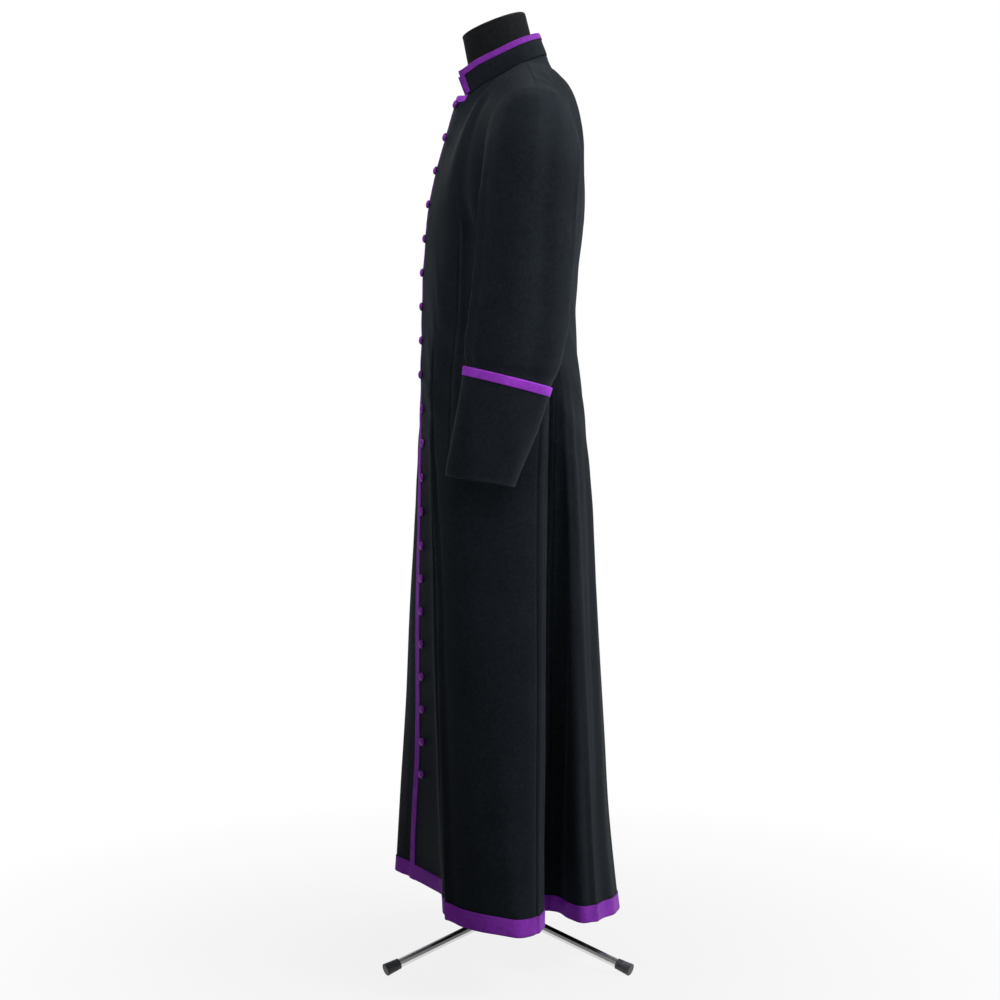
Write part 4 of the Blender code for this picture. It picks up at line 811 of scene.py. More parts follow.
def folded_band(face, legs, arc, back=0.0):
    """Grid of a band folded round an edge, leg by leg along its path. Across it runs
    straight over the cloth from its inner line to the edge, then in a part circle round
    the wall's edge, and back behind it. Legs meet in a mitre, where the way outwards is
    the sum of both legs' ways."""
    inner = np.concatenate([legs[0][0]] + [leg[0][1:] for leg in legs[1:]])
    outer = np.concatenate([legs[0][1]] + [leg[1][1:] for leg in legs[1:]])
    ahead, start = np.zeros((len(outer), 3)), 0
    for leg_inner, leg_outer in legs:
        edge, out = raised(face, leg_outer)
        sideways = unit(np.cross(np.gradient(edge, axis=0), out))
        towards = leg_outer + (leg_inner - leg_outer) * 0.2
        inwards = face(towards[:, 0], towards[:, 1], 0.0) - edge
        sideways *= -np.sign(np.sum(sideways * inwards, axis=1, keepdims=True))
        ahead[start:start + len(edge)] += sideways
        start += len(edge) - 1
    edge, out = raised(face, outer)
    where = inner + (outer - inner) * np.linspace(0.0, 1.0, 7)[:, None, None]
    front = face(where[..., 0], where[..., 1], BAND_LIFT)
    radius = CLOTH / 2 + BAND_LIFT
    turn = np.radians(np.linspace(0.0, arc, 9))[1:, None, None]
    rounded = edge - out * CLOTH / 2 + radius * (out * np.cos(turn) + ahead * np.sin(turn))
    rows = [front, rounded]
    if back:
        rows.append(rounded[-1] - ahead * np.linspace(0.0, back, 5)[1:, None, None])
    rows = np.concatenate(rows)
    turned = np.sum(np.cross(rows[0, 1] - rows[0, 0], rows[1, 0] - rows[0, 0]) * out[0]) < 0
    return rows[::-1] if turned else rows


def trim(name, rows, nodes, finish=PURPLE_SILK, closed=False):
    """A band as a piece of its own, with the small rounding of a folded edge."""
    item = piece(name, grid_mesh(name, rows, closed=closed), finish, nodes,
                 TRIM)
    rounding = item.modifiers.new("folded_edge", "BEVEL")
    rounding.width = 0.00028
    rounding.segments = 2
    rounding.limit_method = "ANGLE"
    rounding.angle_limit = math.radians(50)
    return item


def pairs(first, second):
    """Two tables as one of pairs, such as a station and a rise for each point."""
    return np.stack(matched(first, second), -1)


def silk_on_cloth(station, rise, lift):
    """The panels' face raised for the band, which ripples a little along its length."""
    ripple = 0.00022 * np.sin(station * 95 + rise * 40) * np.sin(station * 37 + rise * 61 + 1.0)
    return cloth(station, rise, lift + ripple * (lift > 2e-4) * (lift < 3e-3))


NOTCH_RISE = 2.0 - NOTCH_BAND_SHARE
front_rises = np.concatenate([[-0.0018, -0.0009], BODY_ROWS])
inner_rises = front_rises - NOTCH_BAND_SHARE * np.clip((front_rises - 1.7) / 0.3, 0, 1)
edge_inside = station_beside(inner_rises, EDGE_BAND)
up_front = (pairs(edge_inside, inner_rises), pairs(0.0, front_rises))
to_collar = np.linspace(0.0, 1.0, 14)
along_notch = (pairs(edge_inside[-1] + (COLLAR_LEFT - edge_inside[-1]) * to_collar, NOTCH_RISE),
               pairs(COLLAR_LEFT * to_collar, 2.0))
front_band = trim("front_edge_binding",
                  folded_band(silk_on_cloth, [up_front, along_notch], SHORT_FOLD),
                  ["front_trim"])

hem_starts = {"front_left": float(station_beside(np.zeros(1), EDGE_BAND + SEAM_GAP)[0]),
              "back": LEFT_SEAM + SEAM_GAP / 2, "front_right": RIGHT_SEAM + SEAM_GAP / 2}
hem_ends = {"front_left": LEFT_SEAM - SEAM_GAP / 2, "back": RIGHT_SEAM - SEAM_GAP / 2,
            "front_right": LAP - DIP_END}
hem_nodes = {"front_left": "hem_trim_left", "back": "hem_trim_back",
             "front_right": "hem_trim_right"}
hem_bands = {}
for panel, node in hem_nodes.items():
    lines = panel_lines[panel]
    lines = np.concatenate([[hem_starts[panel]],
                            lines[(lines > hem_starts[panel] + 4e-4)
                                  & (lines < hem_ends[panel] - 4e-4)], [hem_ends[panel]]])
    leg = (pairs(lines, HEM_BAND_SHARE), pairs(lines, 0.0))
    hem_bands[panel] = trim(node.replace("trim", "binding"),
                            folded_band(silk_on_cloth, [leg], FULL_FOLD, HEM_RETURN), [node])

right_neck = np.linspace(COLLAR_RIGHT, LAP - DIP_END, 16)
neck_band = trim("neck_binding_right",
                 folded_band(silk_on_cloth, [(pairs(right_neck, NOTCH_RISE),
                                              pairs(right_neck, 2.0))], FULL_FOLD, 0.005),
                 ["neck_trim_right"])


STITCH_PITCH, STITCH_LENGTH, THREAD = 0.0030, 0.0021, 0.00024


def stitches(name, points, outwards, finish=PURPLE_SILK):
    """A row of stitches along a line: at even steps a long eight-sided grain of thread
    that lies half sunk in the cloth."""
    along = distances(points)
    places = np.arange(STITCH_PITCH / 2, along[-1], STITCH_PITCH)

    def read(table, where):
        """A table's rows at these lengths along the line."""
        return np.stack([np.interp(where, along, column) for column in table.T], -1)

    middle, out = read(points, places), unit(read(outwards, places))
    ahead = unit(read(points, places + 1e-3) - read(points, places - 1e-3))
    beside = unit(np.cross(out, ahead))
    shape = np.array([(-0.5, 0, 0), (0, -1, 0), (0, 0, 1), (0, 1, 0), (0, 0, -1), (0.5, 0, 0)])
    corners = (middle[:, None] + shape[:, :1] * STITCH_LENGTH * ahead[:, None]
               + shape[:, 1:2] * THREAD * beside[:, None]
               + shape[:, 2:] * THREAD * out[:, None])
    faces = np.array([(0, 2, 1), (0, 3, 2), (0, 4, 3), (0, 1, 4),
                      (5, 1, 2), (5, 2, 3), (5, 3, 4), (5, 4, 1)])
    every = (faces[None] + 6 * np.arange(len(places))[:, None, None]).reshape(-1, 3)
    mesh = bpy.data.meshes.new(name)
    mesh.from_pydata(corners.reshape(-1, 3).tolist(), [], every.tolist())
    mesh.uv_layers.new(name="cloth")
    mesh.shade_smooth()
    return piece(name, mesh, finish)


def seam_stitches(name, station, rise):
    """Stitches along a line on the body, given by its stations and rises."""
    station, rise = matched(station, rise)
    return stitches(name, cloth(station, rise, STITCH_LIFT),
                    outward(surface, station, rise, -0.01, 2.0))


panel_trims = {"front_left": [front_band], "back": [], "front_right": [neck_band]}

# The side seams' turnings: the raw edges of both panels, pressed open behind the seam.
TURNING_WIDTH, TURNING_WALL = 0.020, 0.0008
turning_rows = np.linspace(0.012, 0.80, 160)
for side, seam in (("left", LEFT_SEAM), ("right", RIGHT_SEAM)):
    across = seam + np.linspace(-TURNING_WIDTH / 2, TURNING_WIDTH / 2, 9)
    name = f"side_seam_turning_{side}"
    rows = cloth(across[None, :], turning_rows[:, None], -CLOTH - LIFT)
    panel_trims[f"front_{side}"].append(piece(
        name, grid_mesh(name, rows), BLACK_WOOL, wall=TURNING_WALL))
inside_rises = front_rises[2:-8]
panel_trims["front_left"].append(seam_stitches(
    "front_edge_stitches", station_beside(inside_rises, EDGE_BAND - STITCH_INSIDE),
    inside_rises))
for panel, band in hem_bands.items():
    lines = np.linspace(hem_starts[panel] + 0.001, hem_ends[panel] - 0.001, 500)
    panel_trims[panel] += [band, seam_stitches(
        band.name.replace("binding", "stitches"), lines, HEM_BAND_SHARE - 0.0015)]

# ---------------------------------------------------------------------------- the collar
# A stiffened stand collar of the black twill, cut in one piece to lean in with the neck.
# Its two ends and its top are bound in the silk; the left end stands behind the notch.
COLLAR_BAND = 0.0088    # width of its binding
COLLAR_HEIGHT = 0.0405  # up the leaning band, at its front ends
COLLAR_DIP = 0.0044     # how much lower it is at the back
COLLAR_TAPER = 0.05     # share of its width lost towards the top
TRIM_START = 0.06       # share of the height at which the ends' binding begins
COLLAR_LEAN = unit(np.array([0.0, -0.345, 0.938]))


def collar_face(along, share):
    """The neck seam carried up its leaning direction, a little narrower at the top. The
    height falls from the front ends to the back by the sine of the way round."""
    along, share = matched(along, share)
    points = neckline(along).copy()
    points[..., 0] *= 1 - COLLAR_TAPER * share
    round_neck = np.clip((along - NECK_END) / (2 * (NECK_BACK - NECK_END)), 0.0, 1.0)
    height = COLLAR_HEIGHT - COLLAR_DIP * np.sin(np.pi * round_neck)
    return points + COLLAR_LEAN * (SEAM_GAP + (height - SEAM_GAP) * share)[..., None]


def collar_cloth(along, share, lift=0.0):
    """The collar's face with the slow waves of an interlined band, rolled in at its foot."""
    along, share = matched(along, share)
    wave = 0.00035 * np.sin(along * 41 + share * 2.2) + 0.0002 * np.sin(along * 97 - share * 4)
    wave = wave - 0.0006 * bump_across(share, 0.05)
    normal = outward(collar_face, along, share, 0.0, 1.0)
    return collar_face(along, share) + normal * (wave + lift)[..., None]


collar_start, collar_end = NECK_END, 2 * NECK_BACK - NECK_END - RIGHT_SETBACK
collar_along = np.linspace(collar_start, collar_end, 200)
collar_share = np.concatenate([[0.0, 0.02, 0.045, 0.08, 0.12], np.linspace(0.18, 1.0, 16)])
collar = piece("collar_cloth", grid_mesh("collar_cloth", collar_cloth(
    collar_along[None, :], collar_share[:, None])), BLACK_WOOL, ["collar"], CLOTH)

low_share = 1 - COLLAR_BAND / COLLAR_HEIGHT
up = np.linspace(0.0, 1.0, 16)
end_inner = TRIM_START + (low_share - TRIM_START) * up
end_outer = TRIM_START + (1 - TRIM_START) * up
top_inner = np.linspace(collar_start + COLLAR_BAND, collar_end - COLLAR_BAND, 200)
collar_legs = [
    (pairs(collar_start + COLLAR_BAND, end_inner), pairs(collar_start, end_outer)),
    (pairs(top_inner, low_share), pairs(collar_along, 1.0)),
    (pairs(collar_end - COLLAR_BAND, end_inner[::-1]), pairs(collar_end, end_outer[::-1]))]
# The bindings' silk painted darker: painted shade on the collar's binding and its stitches.
COLLAR_SILK_PAINTED_SHADE = fabric("purple_collar_silk_painted_shade", (0.120, 0.016, 0.222), (0.234, 0.037, 0.408),
                     roughness=0.56, sheen=0.02, specular=0.10, **BAND_SILK)
collar_band = trim("collar_binding", folded_band(collar_cloth, collar_legs, FULL_FOLD, 0.0075),
                   ["collar_trim"], finish=COLLAR_SILK_PAINTED_SHADE)
stitch_share = low_share + STITCH_INSIDE / COLLAR_HEIGHT
stitch_line = np.linspace(collar_start + COLLAR_BAND - STITCH_INSIDE,
                          collar_end - COLLAR_BAND + STITCH_INSIDE, 300)
collar_stitches = stitches(
    "collar_stitches", collar_cloth(stitch_line, stitch_share, STITCH_LIFT),
    outward(collar_face, stitch_line, np.full_like(stitch_line, stitch_share), 0.0, 1.0),
    COLLAR_SILK_PAINTED_SHADE)

# --------------------------------------------------------------------------- the sleeves
# Two-piece sleeves of the twill, eased into the armhole over the shoulder point, with a
# seam down the front and one down the back. They hang straight and bend at the elbow.
ROOT_GAP, UNDERARM_GAP = 0.0004, 0.0014   # from the armhole, and more under the arm
SLEEVE_X, SLEEVE_HEM_X = 0.2120, 0.2190   # middle of the sleeve at its top and its hem
SLEEVE_TOP_Z, SLEEVE_HEM_Z, CUFF_TOP_Z = 1.2100, 0.826, 0.9884
CUFF_STEP = 0.0026     # how much narrower the sleeve is inside its cuff
# Height, place from front to back, half depth, half thickness and slope of each ring.
SLEEVE = np.array([
    (0.8260, -0.0645, 0.0562, 0.0345, 0.17), (0.9100, -0.0405, 0.0655, 0.0380, 0.22),
    (0.9920, -0.0192, 0.0722, 0.0410, 0.24), (1.0350, -0.0105, 0.0785, 0.0425, 0.16),
    (1.0800, -0.0030, 0.0795, 0.0430, 0.08), (1.1360, 0.0030, 0.0793, 0.0430, 0.03),
    (1.2100, 0.0098, 0.0782, 0.0430, 0.00)])


def sleeve_ring(height, turn, out=0.0):
    """Face of the hanging sleeve, a tilted ellipse: turn 0 faces the body, 0.25 the front."""
    sizes = table_curve(height, SLEEVE[:, 0], SLEEVE[:, 1:])
    angle = 2 * math.pi * turn
    drop = np.clip((SLEEVE_TOP_Z - height) / (SLEEVE_TOP_Z - SLEEVE_HEM_Z), 0.0, 1.0)
    middle = SLEEVE_X + (SLEEVE_HEM_X - SLEEVE_X) * drop
    x = middle - (sizes[..., 2] + out) * np.cos(angle)
    depth = -(sizes[..., 1] + out) * np.sin(angle)
    tilt = np.arctan(sizes[..., 3])
    return np.stack(np.broadcast_arrays(x, sizes[..., 0] + depth * np.cos(tilt),
                                        height - depth * np.sin(tilt)), -1)


def sleeve_head(turn, w):
    """From the armhole (0) over the sleeve's head to the first hanging ring (1)."""
    is_front = turn <= 0.5
    foot = armhole(np.where(is_front, 2 * turn, 2 - 2 * turn), is_front)
    head = sleeve_ring(np.full_like(turn, SLEEVE_TOP_Z), turn)
    crown = 0.5 - 0.5 * np.cos(2 * math.pi * turn)
    sideways = np.sin(2 * math.pi * turn)
    leave = unit(np.stack([np.ones_like(crown), -0.15 * sideways, -0.45 + 0.05 * crown], -1))
    arrive = np.broadcast_to(np.array([0.0, -0.02, -1.0]), foot.shape)
    reach = np.linalg.norm(head - foot, axis=-1, keepdims=True)
    start = foot + leave * (ROOT_GAP + UNDERARM_GAP * (1 - crown))[..., None]
    return hermite(start, head, leave * reach * 0.9, arrive * reach, w[..., None])


def sleeve_face(turn, rise):
    """The whole sleeve: rise is 0 at the hem, 1 where it hangs clear and 2 at the armhole.
    Inside the cuff it is a little narrower."""
    turn, rise = matched(turn, rise)
    turn = np.mod(turn, 1.0)
    height = SLEEVE_HEM_Z + (SLEEVE_TOP_Z - SLEEVE_HEM_Z) * np.clip(rise, 0.0, 1.0)
    inside = np.clip((1.012 - height) / 0.016, 0.0, 1.0)
    tube = sleeve_ring(height, turn, -CUFF_STEP * inside * inside * (3 - 2 * inside))
    head = sleeve_head(turn, np.clip(2.0 - rise, 0.0, 1.0))
    return np.where((rise <= 1.0)[..., None], tube, head)


# As for the body: rises and turns of each fold, its height, half width and soft ends.
SLEEVE_LINES = [
    ([0.42, 0.74, 1.0, 1.36], [0.283, 0.280, 0.272, 0.272], 0.0020, 0.008, 0.12),
    ([0.45, 0.74, 1.0, 1.40], [0.325, 0.322, 0.315, 0.318], -0.0018, 0.020, 0.12),
    ([0.85, 1.2, 1.5, 1.78], [0.350, 0.345, 0.345, 0.360], -0.0034, 0.045, 0.18),
    ([0.55, 1.0, 1.4, 1.80], [0.565, 0.552, 0.545, 0.545], -0.0034, 0.030, 0.20),
    ([0.42, 0.9, 1.3, 1.8], [0.480, 0.475, 0.465, 0.475], 0.0028, 0.044, 0.25),
    ([0.85, 1.05, 1.35], [0.410, 0.405, 0.400], -0.0022, 0.026, 0.15),
    ([0.95, 1.25, 1.65], [0.700, 0.690, 0.680], 0.0024, 0.018, 0.15),
    ([0.0, 1.0, 1.95], [0.175, 0.175, 0.170], -0.0008, 0.0035, 0.03),
    ([0.0, 1.0, 1.95], [0.800, 0.800, 0.790], -0.0008, 0.0035, 0.03),
]
# Creases inside and behind the elbow: the middle's rise and turn, the reach along and
# round the sleeve, and the height, number and lean of the creases.
ELBOW_CREASES = [(0.72, 0.33, 0.20, 0.11, 0.0010, 7.5, 4),
                 (0.66, 0.72, 0.16, 0.10, 0.0007, 6.0, -5)]
SEAM_RIDGE_RISE = 1.955   # where the armhole seam's turned-in allowance shows


def sleeve_drape(turn, rise):
    """The sleeve's folds, the creases inside the elbow, the ease gathered into its head
    and the ridge where the seam's allowance is turned into it."""
    turn, rise = matched(turn, rise)
    turn = np.mod(turn, 1.0)
    out = np.zeros(turn.shape)
    for rises, turns, height, width, soft in SLEEVE_LINES:
        out = out + (height * bump_across(turn - np.interp(rise, rises, turns), width)
                     * strength_along(rise, rises, soft))
    for up, aside, reach, width, height, count, lean in ELBOW_CREASES:
        elbow = bump_across(rise - up, reach) * bump_across(turn - aside, width)
        out = out + height * elbow * np.sin(2 * np.pi * (rise * count + turn * lean))
    crown = (0.5 - 0.5 * np.cos(2 * np.pi * turn)) ** 2
    out = out + (0.00045 * crown * bump_across(2.0 - rise, 0.05) * (rise > 1.5)
                 * np.sin(2 * np.pi * turn * 46))
    ridge = bump_across(rise - SEAM_RIDGE_RISE, 0.022)
    return out + 0.0011 * crown * ridge - 0.0007 * bump_across(2.0 - rise, 0.008)


def sleeve_painted_highlight(turn, rise):
    """A faint painted highlight along the sleeve's front edge, its back edge and the armhole
    seam.
    """
    front = np.interp(rise, SLEEVE_LINES[0][0], SLEEVE_LINES[0][1])
    painted_highlight = 0.55 * bump_across(turn - front, 0.007) * faded(rise, 0.42, 1.75, 0.1)
    painted_highlight = painted_highlight + 0.35 * bump_across(turn - 0.695, 0.010) * faded(rise, 0.9, 1.6, 0.2)
    return painted_highlight + 0.30 * bump_across(rise - SEAM_RIDGE_RISE, 0.018)


def sleeve_cloth(turn, rise):
    """Outer face of the sleeve's cloth, moved out from its plain face by its drape."""
    normal = outward(sleeve_face, turn, rise, 0.0, 2.0, 4e-4)
    return sleeve_face(turn, rise) + normal * sleeve_drape(turn, rise)[..., None]


def mirrored(rows):
    """The same rows for the wearer's right, with their faces still pointing out."""
    return rows[:, ::-1] * np.array([-1.0, 1.0, 1.0])


sleeve_turns = np.arange(176) / 176
sleeve_rises = np.concatenate([np.linspace(0.012, 1.0, 100)[:-1], np.linspace(1.0, 1.93, 60),
                               [1.94, 1.95, 1.958, 1.966, 1.974, 1.981, 1.987, 1.992, 1.996,
                                2.0]])
sleeve_rows = sleeve_cloth(sleeve_turns[None, :], sleeve_rises[:, None])
# Painted highlight on the sleeves' front and back edges and the armhole seam.
sleeve_highlight = sleeve_painted_highlight(sleeve_turns[None, :], sleeve_rises[:, None])
sides = {"left": np.asarray, "right": mirrored}
for side, shape in sides.items():
    name = f"sleeve_cloth_{side}"
    highlight_share = sleeve_highlight if side == "left" else sleeve_highlight[:, ::-1]
    mesh = grid_mesh(name, shape(sleeve_rows), closed=True, painted_highlight=highlight_share)
    piece(name, mesh, BLACK_WOOL, [f"sleeve_{side}"], CLOTH)

# ----------------------------------------------------------------------------- the cuffs
# Deep turned-back cuffs: the twill is folded up round the sleeve's end, from a rounded
# fold, and its top edge is bound in the silk. They stand a little clear of the sleeve.
CUFF_BAND = 0.0125     # width of its binding
CUFF_FOLD = 0.003      # radius of the fold at the bottom
CUFF_RETURN = 0.024    # how far the cloth runs up again inside the fold


def cuff_wave(turn, height):
    """Slow waves round the cuff that grow from its top to its fold, and its two seams."""
    low = np.clip((CUFF_TOP_Z - height) / (CUFF_TOP_Z - SLEEVE_HEM_Z), 0.0, 1.0)
    wave = 0.0009 * low * np.sin(2 * np.pi * (3 * turn + 0.15)) * np.sin(2 * np.pi * (turn - 0.1))
    wave = wave + 0.0006 * np.sin(2 * np.pi * (5 * turn - 1.2 * low))
    for seam in (0.175, 0.800):
        wave = wave - 0.0006 * bump_across(turn - seam, 0.004)
    return wave


def cuff_cloth(turn, height, lift=0.0):
    """The cuff's face, a hanging sleeve ring widened by its waves."""
    turn = np.mod(turn, 1.0)
    return sleeve_ring(height, turn, cuff_wave(turn, height) + lift)


fold_top = SLEEVE_HEM_Z + CUFF_FOLD
fold_turn = np.radians(np.linspace(0.0, 180.0, 13))[1:]
cuff_heights = np.concatenate([np.linspace(CUFF_TOP_Z, fold_top, 42),
                               fold_top - CUFF_FOLD * np.sin(fold_turn),
                               np.linspace(fold_top, fold_top + CUFF_RETURN, 8)[1:]])
cuff_out = np.concatenate([np.zeros(42), CUFF_FOLD * (np.cos(fold_turn) - 1),
                           np.full(7, -2 * CUFF_FOLD)])
cuff_turns = np.arange(160) / 160
where = np.broadcast_arrays(cuff_turns[None, :], np.maximum(cuff_heights, fold_top)[:, None])
cuff_rows = cuff_cloth(where[0], where[1], cuff_out[:, None])
cuff_rows[..., 2] += np.minimum(cuff_heights - fold_top, 0.0)[:, None]
cuff_rows = cuff_rows[::-1]
loop = np.linspace(0.0, 1.0, 161)
cuff_leg = (pairs(loop, CUFF_TOP_Z - CUFF_BAND), pairs(loop, CUFF_TOP_Z))
cuff_band_rows = folded_band(cuff_cloth, [cuff_leg], SHORT_FOLD)[:, :-1]
cuff_line = cuff_cloth(loop, np.full_like(loop, CUFF_TOP_Z - CUFF_BAND + 0.0017),
                       STITCH_LIFT)
cuff_edge = np.full_like(loop, CUFF_TOP_Z)
cuff_line_out = unit(cuff_cloth(loop, cuff_edge, 1e-3) - cuff_cloth(loop, cuff_edge))
# Painted highlight along the cuff's front and back edges and along its bottom fold.
cuff_highlight = (0.5 * bump_across(np.abs(cuff_turns - 0.5) - 0.222, 0.008)[None, :]
               + 0.4 * bump_across(cuff_heights[::-1] - fold_top, 0.004)[:, None])
for side, shape in sides.items():
    name = f"cuff_cloth_{side}"
    highlight_share = cuff_highlight if side == "left" else cuff_highlight[:, ::-1]
    cuff = piece(name, grid_mesh(name, shape(cuff_rows), closed=True, painted_highlight=highlight_share),
                 BLACK_WOOL, [f"cuff_{side}"], CLOTH)
    band = trim(f"cuff_binding_{side}", shape(cuff_band_rows), [f"cuff_trim_{side}"],
                closed=True)
    sewn = stitches(f"cuff_stitches_{side}", shape(cuff_line[None])[0],
                    shape(cuff_line_out[None])[0])

# --------------------------------------------------------------------------- the buttons
# Twenty-one domed buttons covered in the silk, whose edge is gathered in under the rim,
# on short thread shanks, beside the left front's binding. The lowest seven sit a little
# closer together.
BUTTON_COUNT, BUTTON_TOP_Z, BUTTON_PITCH = 21, 1.4470, 0.0573
LOWER_COUNT, LOWER_PITCH, BUTTON_INSET = 7, 0.0552, 0.0225
BUTTON_RADIUS, BUTTON_RISE, BUTTON_LIFT = 0.0072, 0.0052, 0.0012

# A darker copy of the bindings' silk: painted shade on the buttons.
BUTTON_SILK_PAINTED_SHADE = fabric("purple_button_silk_painted_shade", (0.115, 0.011, 0.205), (0.230, 0.026, 0.385),
                     pitch=0.0006, roughness=0.40, sheen=0.08, weave_depth=0.00008,
                     nap_depth=0.00004, specular=0.4, **SILK)


def button_shape(steps=44):
    """Radius and height of the button's outline from its middle to the foot of its shank:
    a dome of rounded-off ellipse, a quarter circle under the rim, a hollow and a shank."""
    rim, shank = 0.27 * BUTTON_RISE, [0.0040, 0.0017, 0.0015, 0.0015]
    dome = np.linspace(0.0, 1.0, 13)
    radius = BUTTON_RADIUS * np.sin(dome * np.pi / 2)
    height = BUTTON_RISE * (0.27 + 0.73 * np.cos(dome * np.pi / 2) ** 1.15)
    under = np.linspace(0.0, 1.0, 6)[1:]
    radius = np.concatenate([radius, BUTTON_RADIUS * (1 - 0.16 * under ** 2), shank])
    height = np.concatenate([height, rim * (1 - under) ** 1.3,
                             [0.0003, 0.0004, -BUTTON_LIFT, -BUTTON_LIFT - 0.0008]])
    angle = np.arange(steps) * 2 * np.pi / steps
    gather = np.clip((radius / BUTTON_RADIUS - 0.80) / 0.2, 0, 1) ** 2 * (height < 0.0032)
    radius = radius[:, None] * (1 - 0.022 * gather[:, None] * (1 + np.cos(angle * 22)) / 2)
    points = np.stack(np.broadcast_arrays(radius * np.cos(angle), radius * np.sin(angle),
                                          height[:, None]), -1)
    return points[::-1]


button_rises = np.linspace(1.995, 0.1, 400)
button_stations = station_beside(button_rises, BUTTON_INSET)
middles = surface(button_stations, button_rises)
down = distances(middles)
number = np.arange(BUTTON_COUNT)
lower = np.maximum(0, number + 1 + LOWER_COUNT - BUTTON_COUNT)
places = (np.interp(-BUTTON_TOP_Z, -middles[:, 2], down) + (number - lower) * BUTTON_PITCH
          + lower * LOWER_PITCH)
button_rise = np.interp(places, down, button_rises)
button_station = np.interp(button_rise, button_rises[::-1], button_stations[::-1])
foots = cloth(button_station, button_rise, BUTTON_LIFT)
normals = outward(surface, button_station, button_rise, -0.01, 2.0)
shape = button_shape()
NODS = [0.03, -0.02, 0.0, 0.04, -0.03]   # how far each of five buttons in turn tips up
for index, (foot, normal) in enumerate(zip(foots, normals)):
    sideways = unit(np.cross([0.0, 0.0, 1.0], normal))
    upwards = np.cross(normal, sideways)
    tipped = unit(normal + NODS[index % 5] * upwards)
    points = (foot + shape[..., :1] * sideways + shape[..., 1:2] * np.cross(tipped, sideways)
              + shape[..., 2:] * tipped)
    name = f"covered_button_{index + 1:02d}"
    panel_trims["front_left"].append(piece(
        name, grid_mesh(name, points, closed=True), BUTTON_SILK_PAINTED_SHADE,
        [f"button_{index + 1:02d}"]))

# -------------------------------------------------------------------------- dress form
# A padded neck and torso under a pulled-on cover of dark knitted jersey, closed at the
# top by a covered round cap with a small knob. Only the neck shows above the collar.
# Place from front to back, height, half width, half depth and slope of each ring.
FORM = np.array([
    (-0.010, 0.800, 0.122, 0.104, 0.00), (-0.010, 0.860, 0.138, 0.116, 0.00),
    (-0.014, 0.950, 0.137, 0.114, 0.00), (-0.018, 1.050, 0.130, 0.108, 0.00),
    (-0.012, 1.150, 0.138, 0.112, 0.00), (-0.004, 1.250, 0.149, 0.117, 0.00),
    (0.003, 1.330, 0.152, 0.106, 0.02), (0.010, 1.380, 0.149, 0.090, 0.05),
    (0.015, 1.418, 0.138, 0.072, 0.10), (0.016, 1.444, 0.112, 0.062, 0.18),
    (0.010, 1.464, 0.082, 0.060, 0.30), (0.000, 1.486, 0.062, 0.060, 0.42),
    (-0.0105, 1.522, 0.0565, 0.0585, 0.44), (-0.0232, 1.5770, 0.0530, 0.0562, 0.384)])
CAP_THICKNESS, CAP_BEVEL, CAP_GAP = 0.0055, 0.0032, 0.0003
KNIT = {"dark": (0.0022, 0.0028, 0.0034), "light": (0.0085, 0.0095, 0.0105),
        "pitch": 0.0016, "slant": 0.0, "nap_depth": 0.0002,
        "mix": (0.15, 0.45, 0.30, 0.10)}
JERSEY = fabric("form_jersey_knit", roughness=0.82, rough_swing=0.10, sheen=0.02,
                weave_depth=0.0003, specular=0.08, **KNIT)
CAP_COVER = fabric("form_cap_cover", roughness=0.70, rough_swing=0.12, sheen=0.03,
                   weave_depth=0.0002, specular=0.12, **KNIT)


def form_ring(where, degrees, shrink=0.0):
    """Ring of the form: an ellipse whose plane climbs towards the front or the back."""
    sizes = table_curve(where, np.arange(len(FORM)), FORM)
    angle = np.radians(degrees)
    tilt = np.arctan(sizes[..., 4])
    depth = (sizes[..., 3] - shrink) * -np.cos(angle)
    return np.stack(np.broadcast_arrays((sizes[..., 2] - shrink) * np.sin(angle),
                                        sizes[..., 0] + depth * np.cos(tilt),
                                        sizes[..., 1] + depth * np.sin(tilt)), -1)


def capped(rows):
    """Rows of a closed shell with their ends drawn in towards the middle."""
    first, last = rows[:1].mean(axis=1, keepdims=True), rows[-1:].mean(axis=1, keepdims=True)
    shares = np.array([0.02, 0.35, 0.7, 0.93])[:, None, None]
    low = first + (rows[:1] - first) * shares
    high = last + (rows[-1:] - last) * shares[::-1]
    return np.concatenate([low, rows, high])


def solid_piece(name, rows, finish, nodes):
    """A solid piece from rows round an axis, with the small hole left at each end of its
    capped rows filled."""
    mesh = grid_mesh(name, capped(rows), closed=True)
    edit = bmesh.new()
    edit.from_mesh(mesh)
    bmesh.ops.holes_fill(edit, edges=[edge for edge in edit.edges if edge.is_boundary])
    edit.to_mesh(mesh)
    edit.free()
    mesh.shade_smooth()
    return piece(name, mesh, finish, nodes)


def refinish(node, finish):
    """Give a part that is shown as the CAD has it this finish."""
    node.data.materials.clear()
    node.data.materials.append(finish)


form_degrees = np.arange(96)[None, :] * 360.0 / 96
form_where = np.linspace(0.0, len(FORM) - 1.0, 110)[:, None]
COVER_SEAM_DEG, COVER_SEAM_DIP = 82.0, 0.0007   # place of the cover's side seams, and depth
seam = np.minimum(np.abs(form_degrees - COVER_SEAM_DEG),
                  np.abs(form_degrees - (360.0 - COVER_SEAM_DEG)))
form_rows = form_ring(form_where, form_degrees, COVER_SEAM_DIP * bump_across(seam, 3.0))
solid_piece("form_neck_and_torso", form_rows, JERSEY, ["form_torso"])

axis = unit(np.array([0.0, -FORM[-1, 4], 1.0]))
rim = np.linspace(0.0, np.pi / 2, 8)
cap_shrink = np.concatenate([[0.0], CAP_BEVEL * (1 - np.cos(rim))])
cap_height = np.concatenate([[CAP_GAP], CAP_THICKNESS - CAP_BEVEL * (1 - np.sin(rim))])
cap_rows = np.concatenate([form_ring(np.array([[len(FORM) - 1.0]]), form_degrees, shrink)
                           + axis * height for shrink, height in zip(cap_shrink, cap_height)])
solid_piece("form_neck_lid", cap_rows, CAP_COVER, ["form_neck_cap"])
refinish(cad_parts["form_cap_knob"], CAP_COVER)

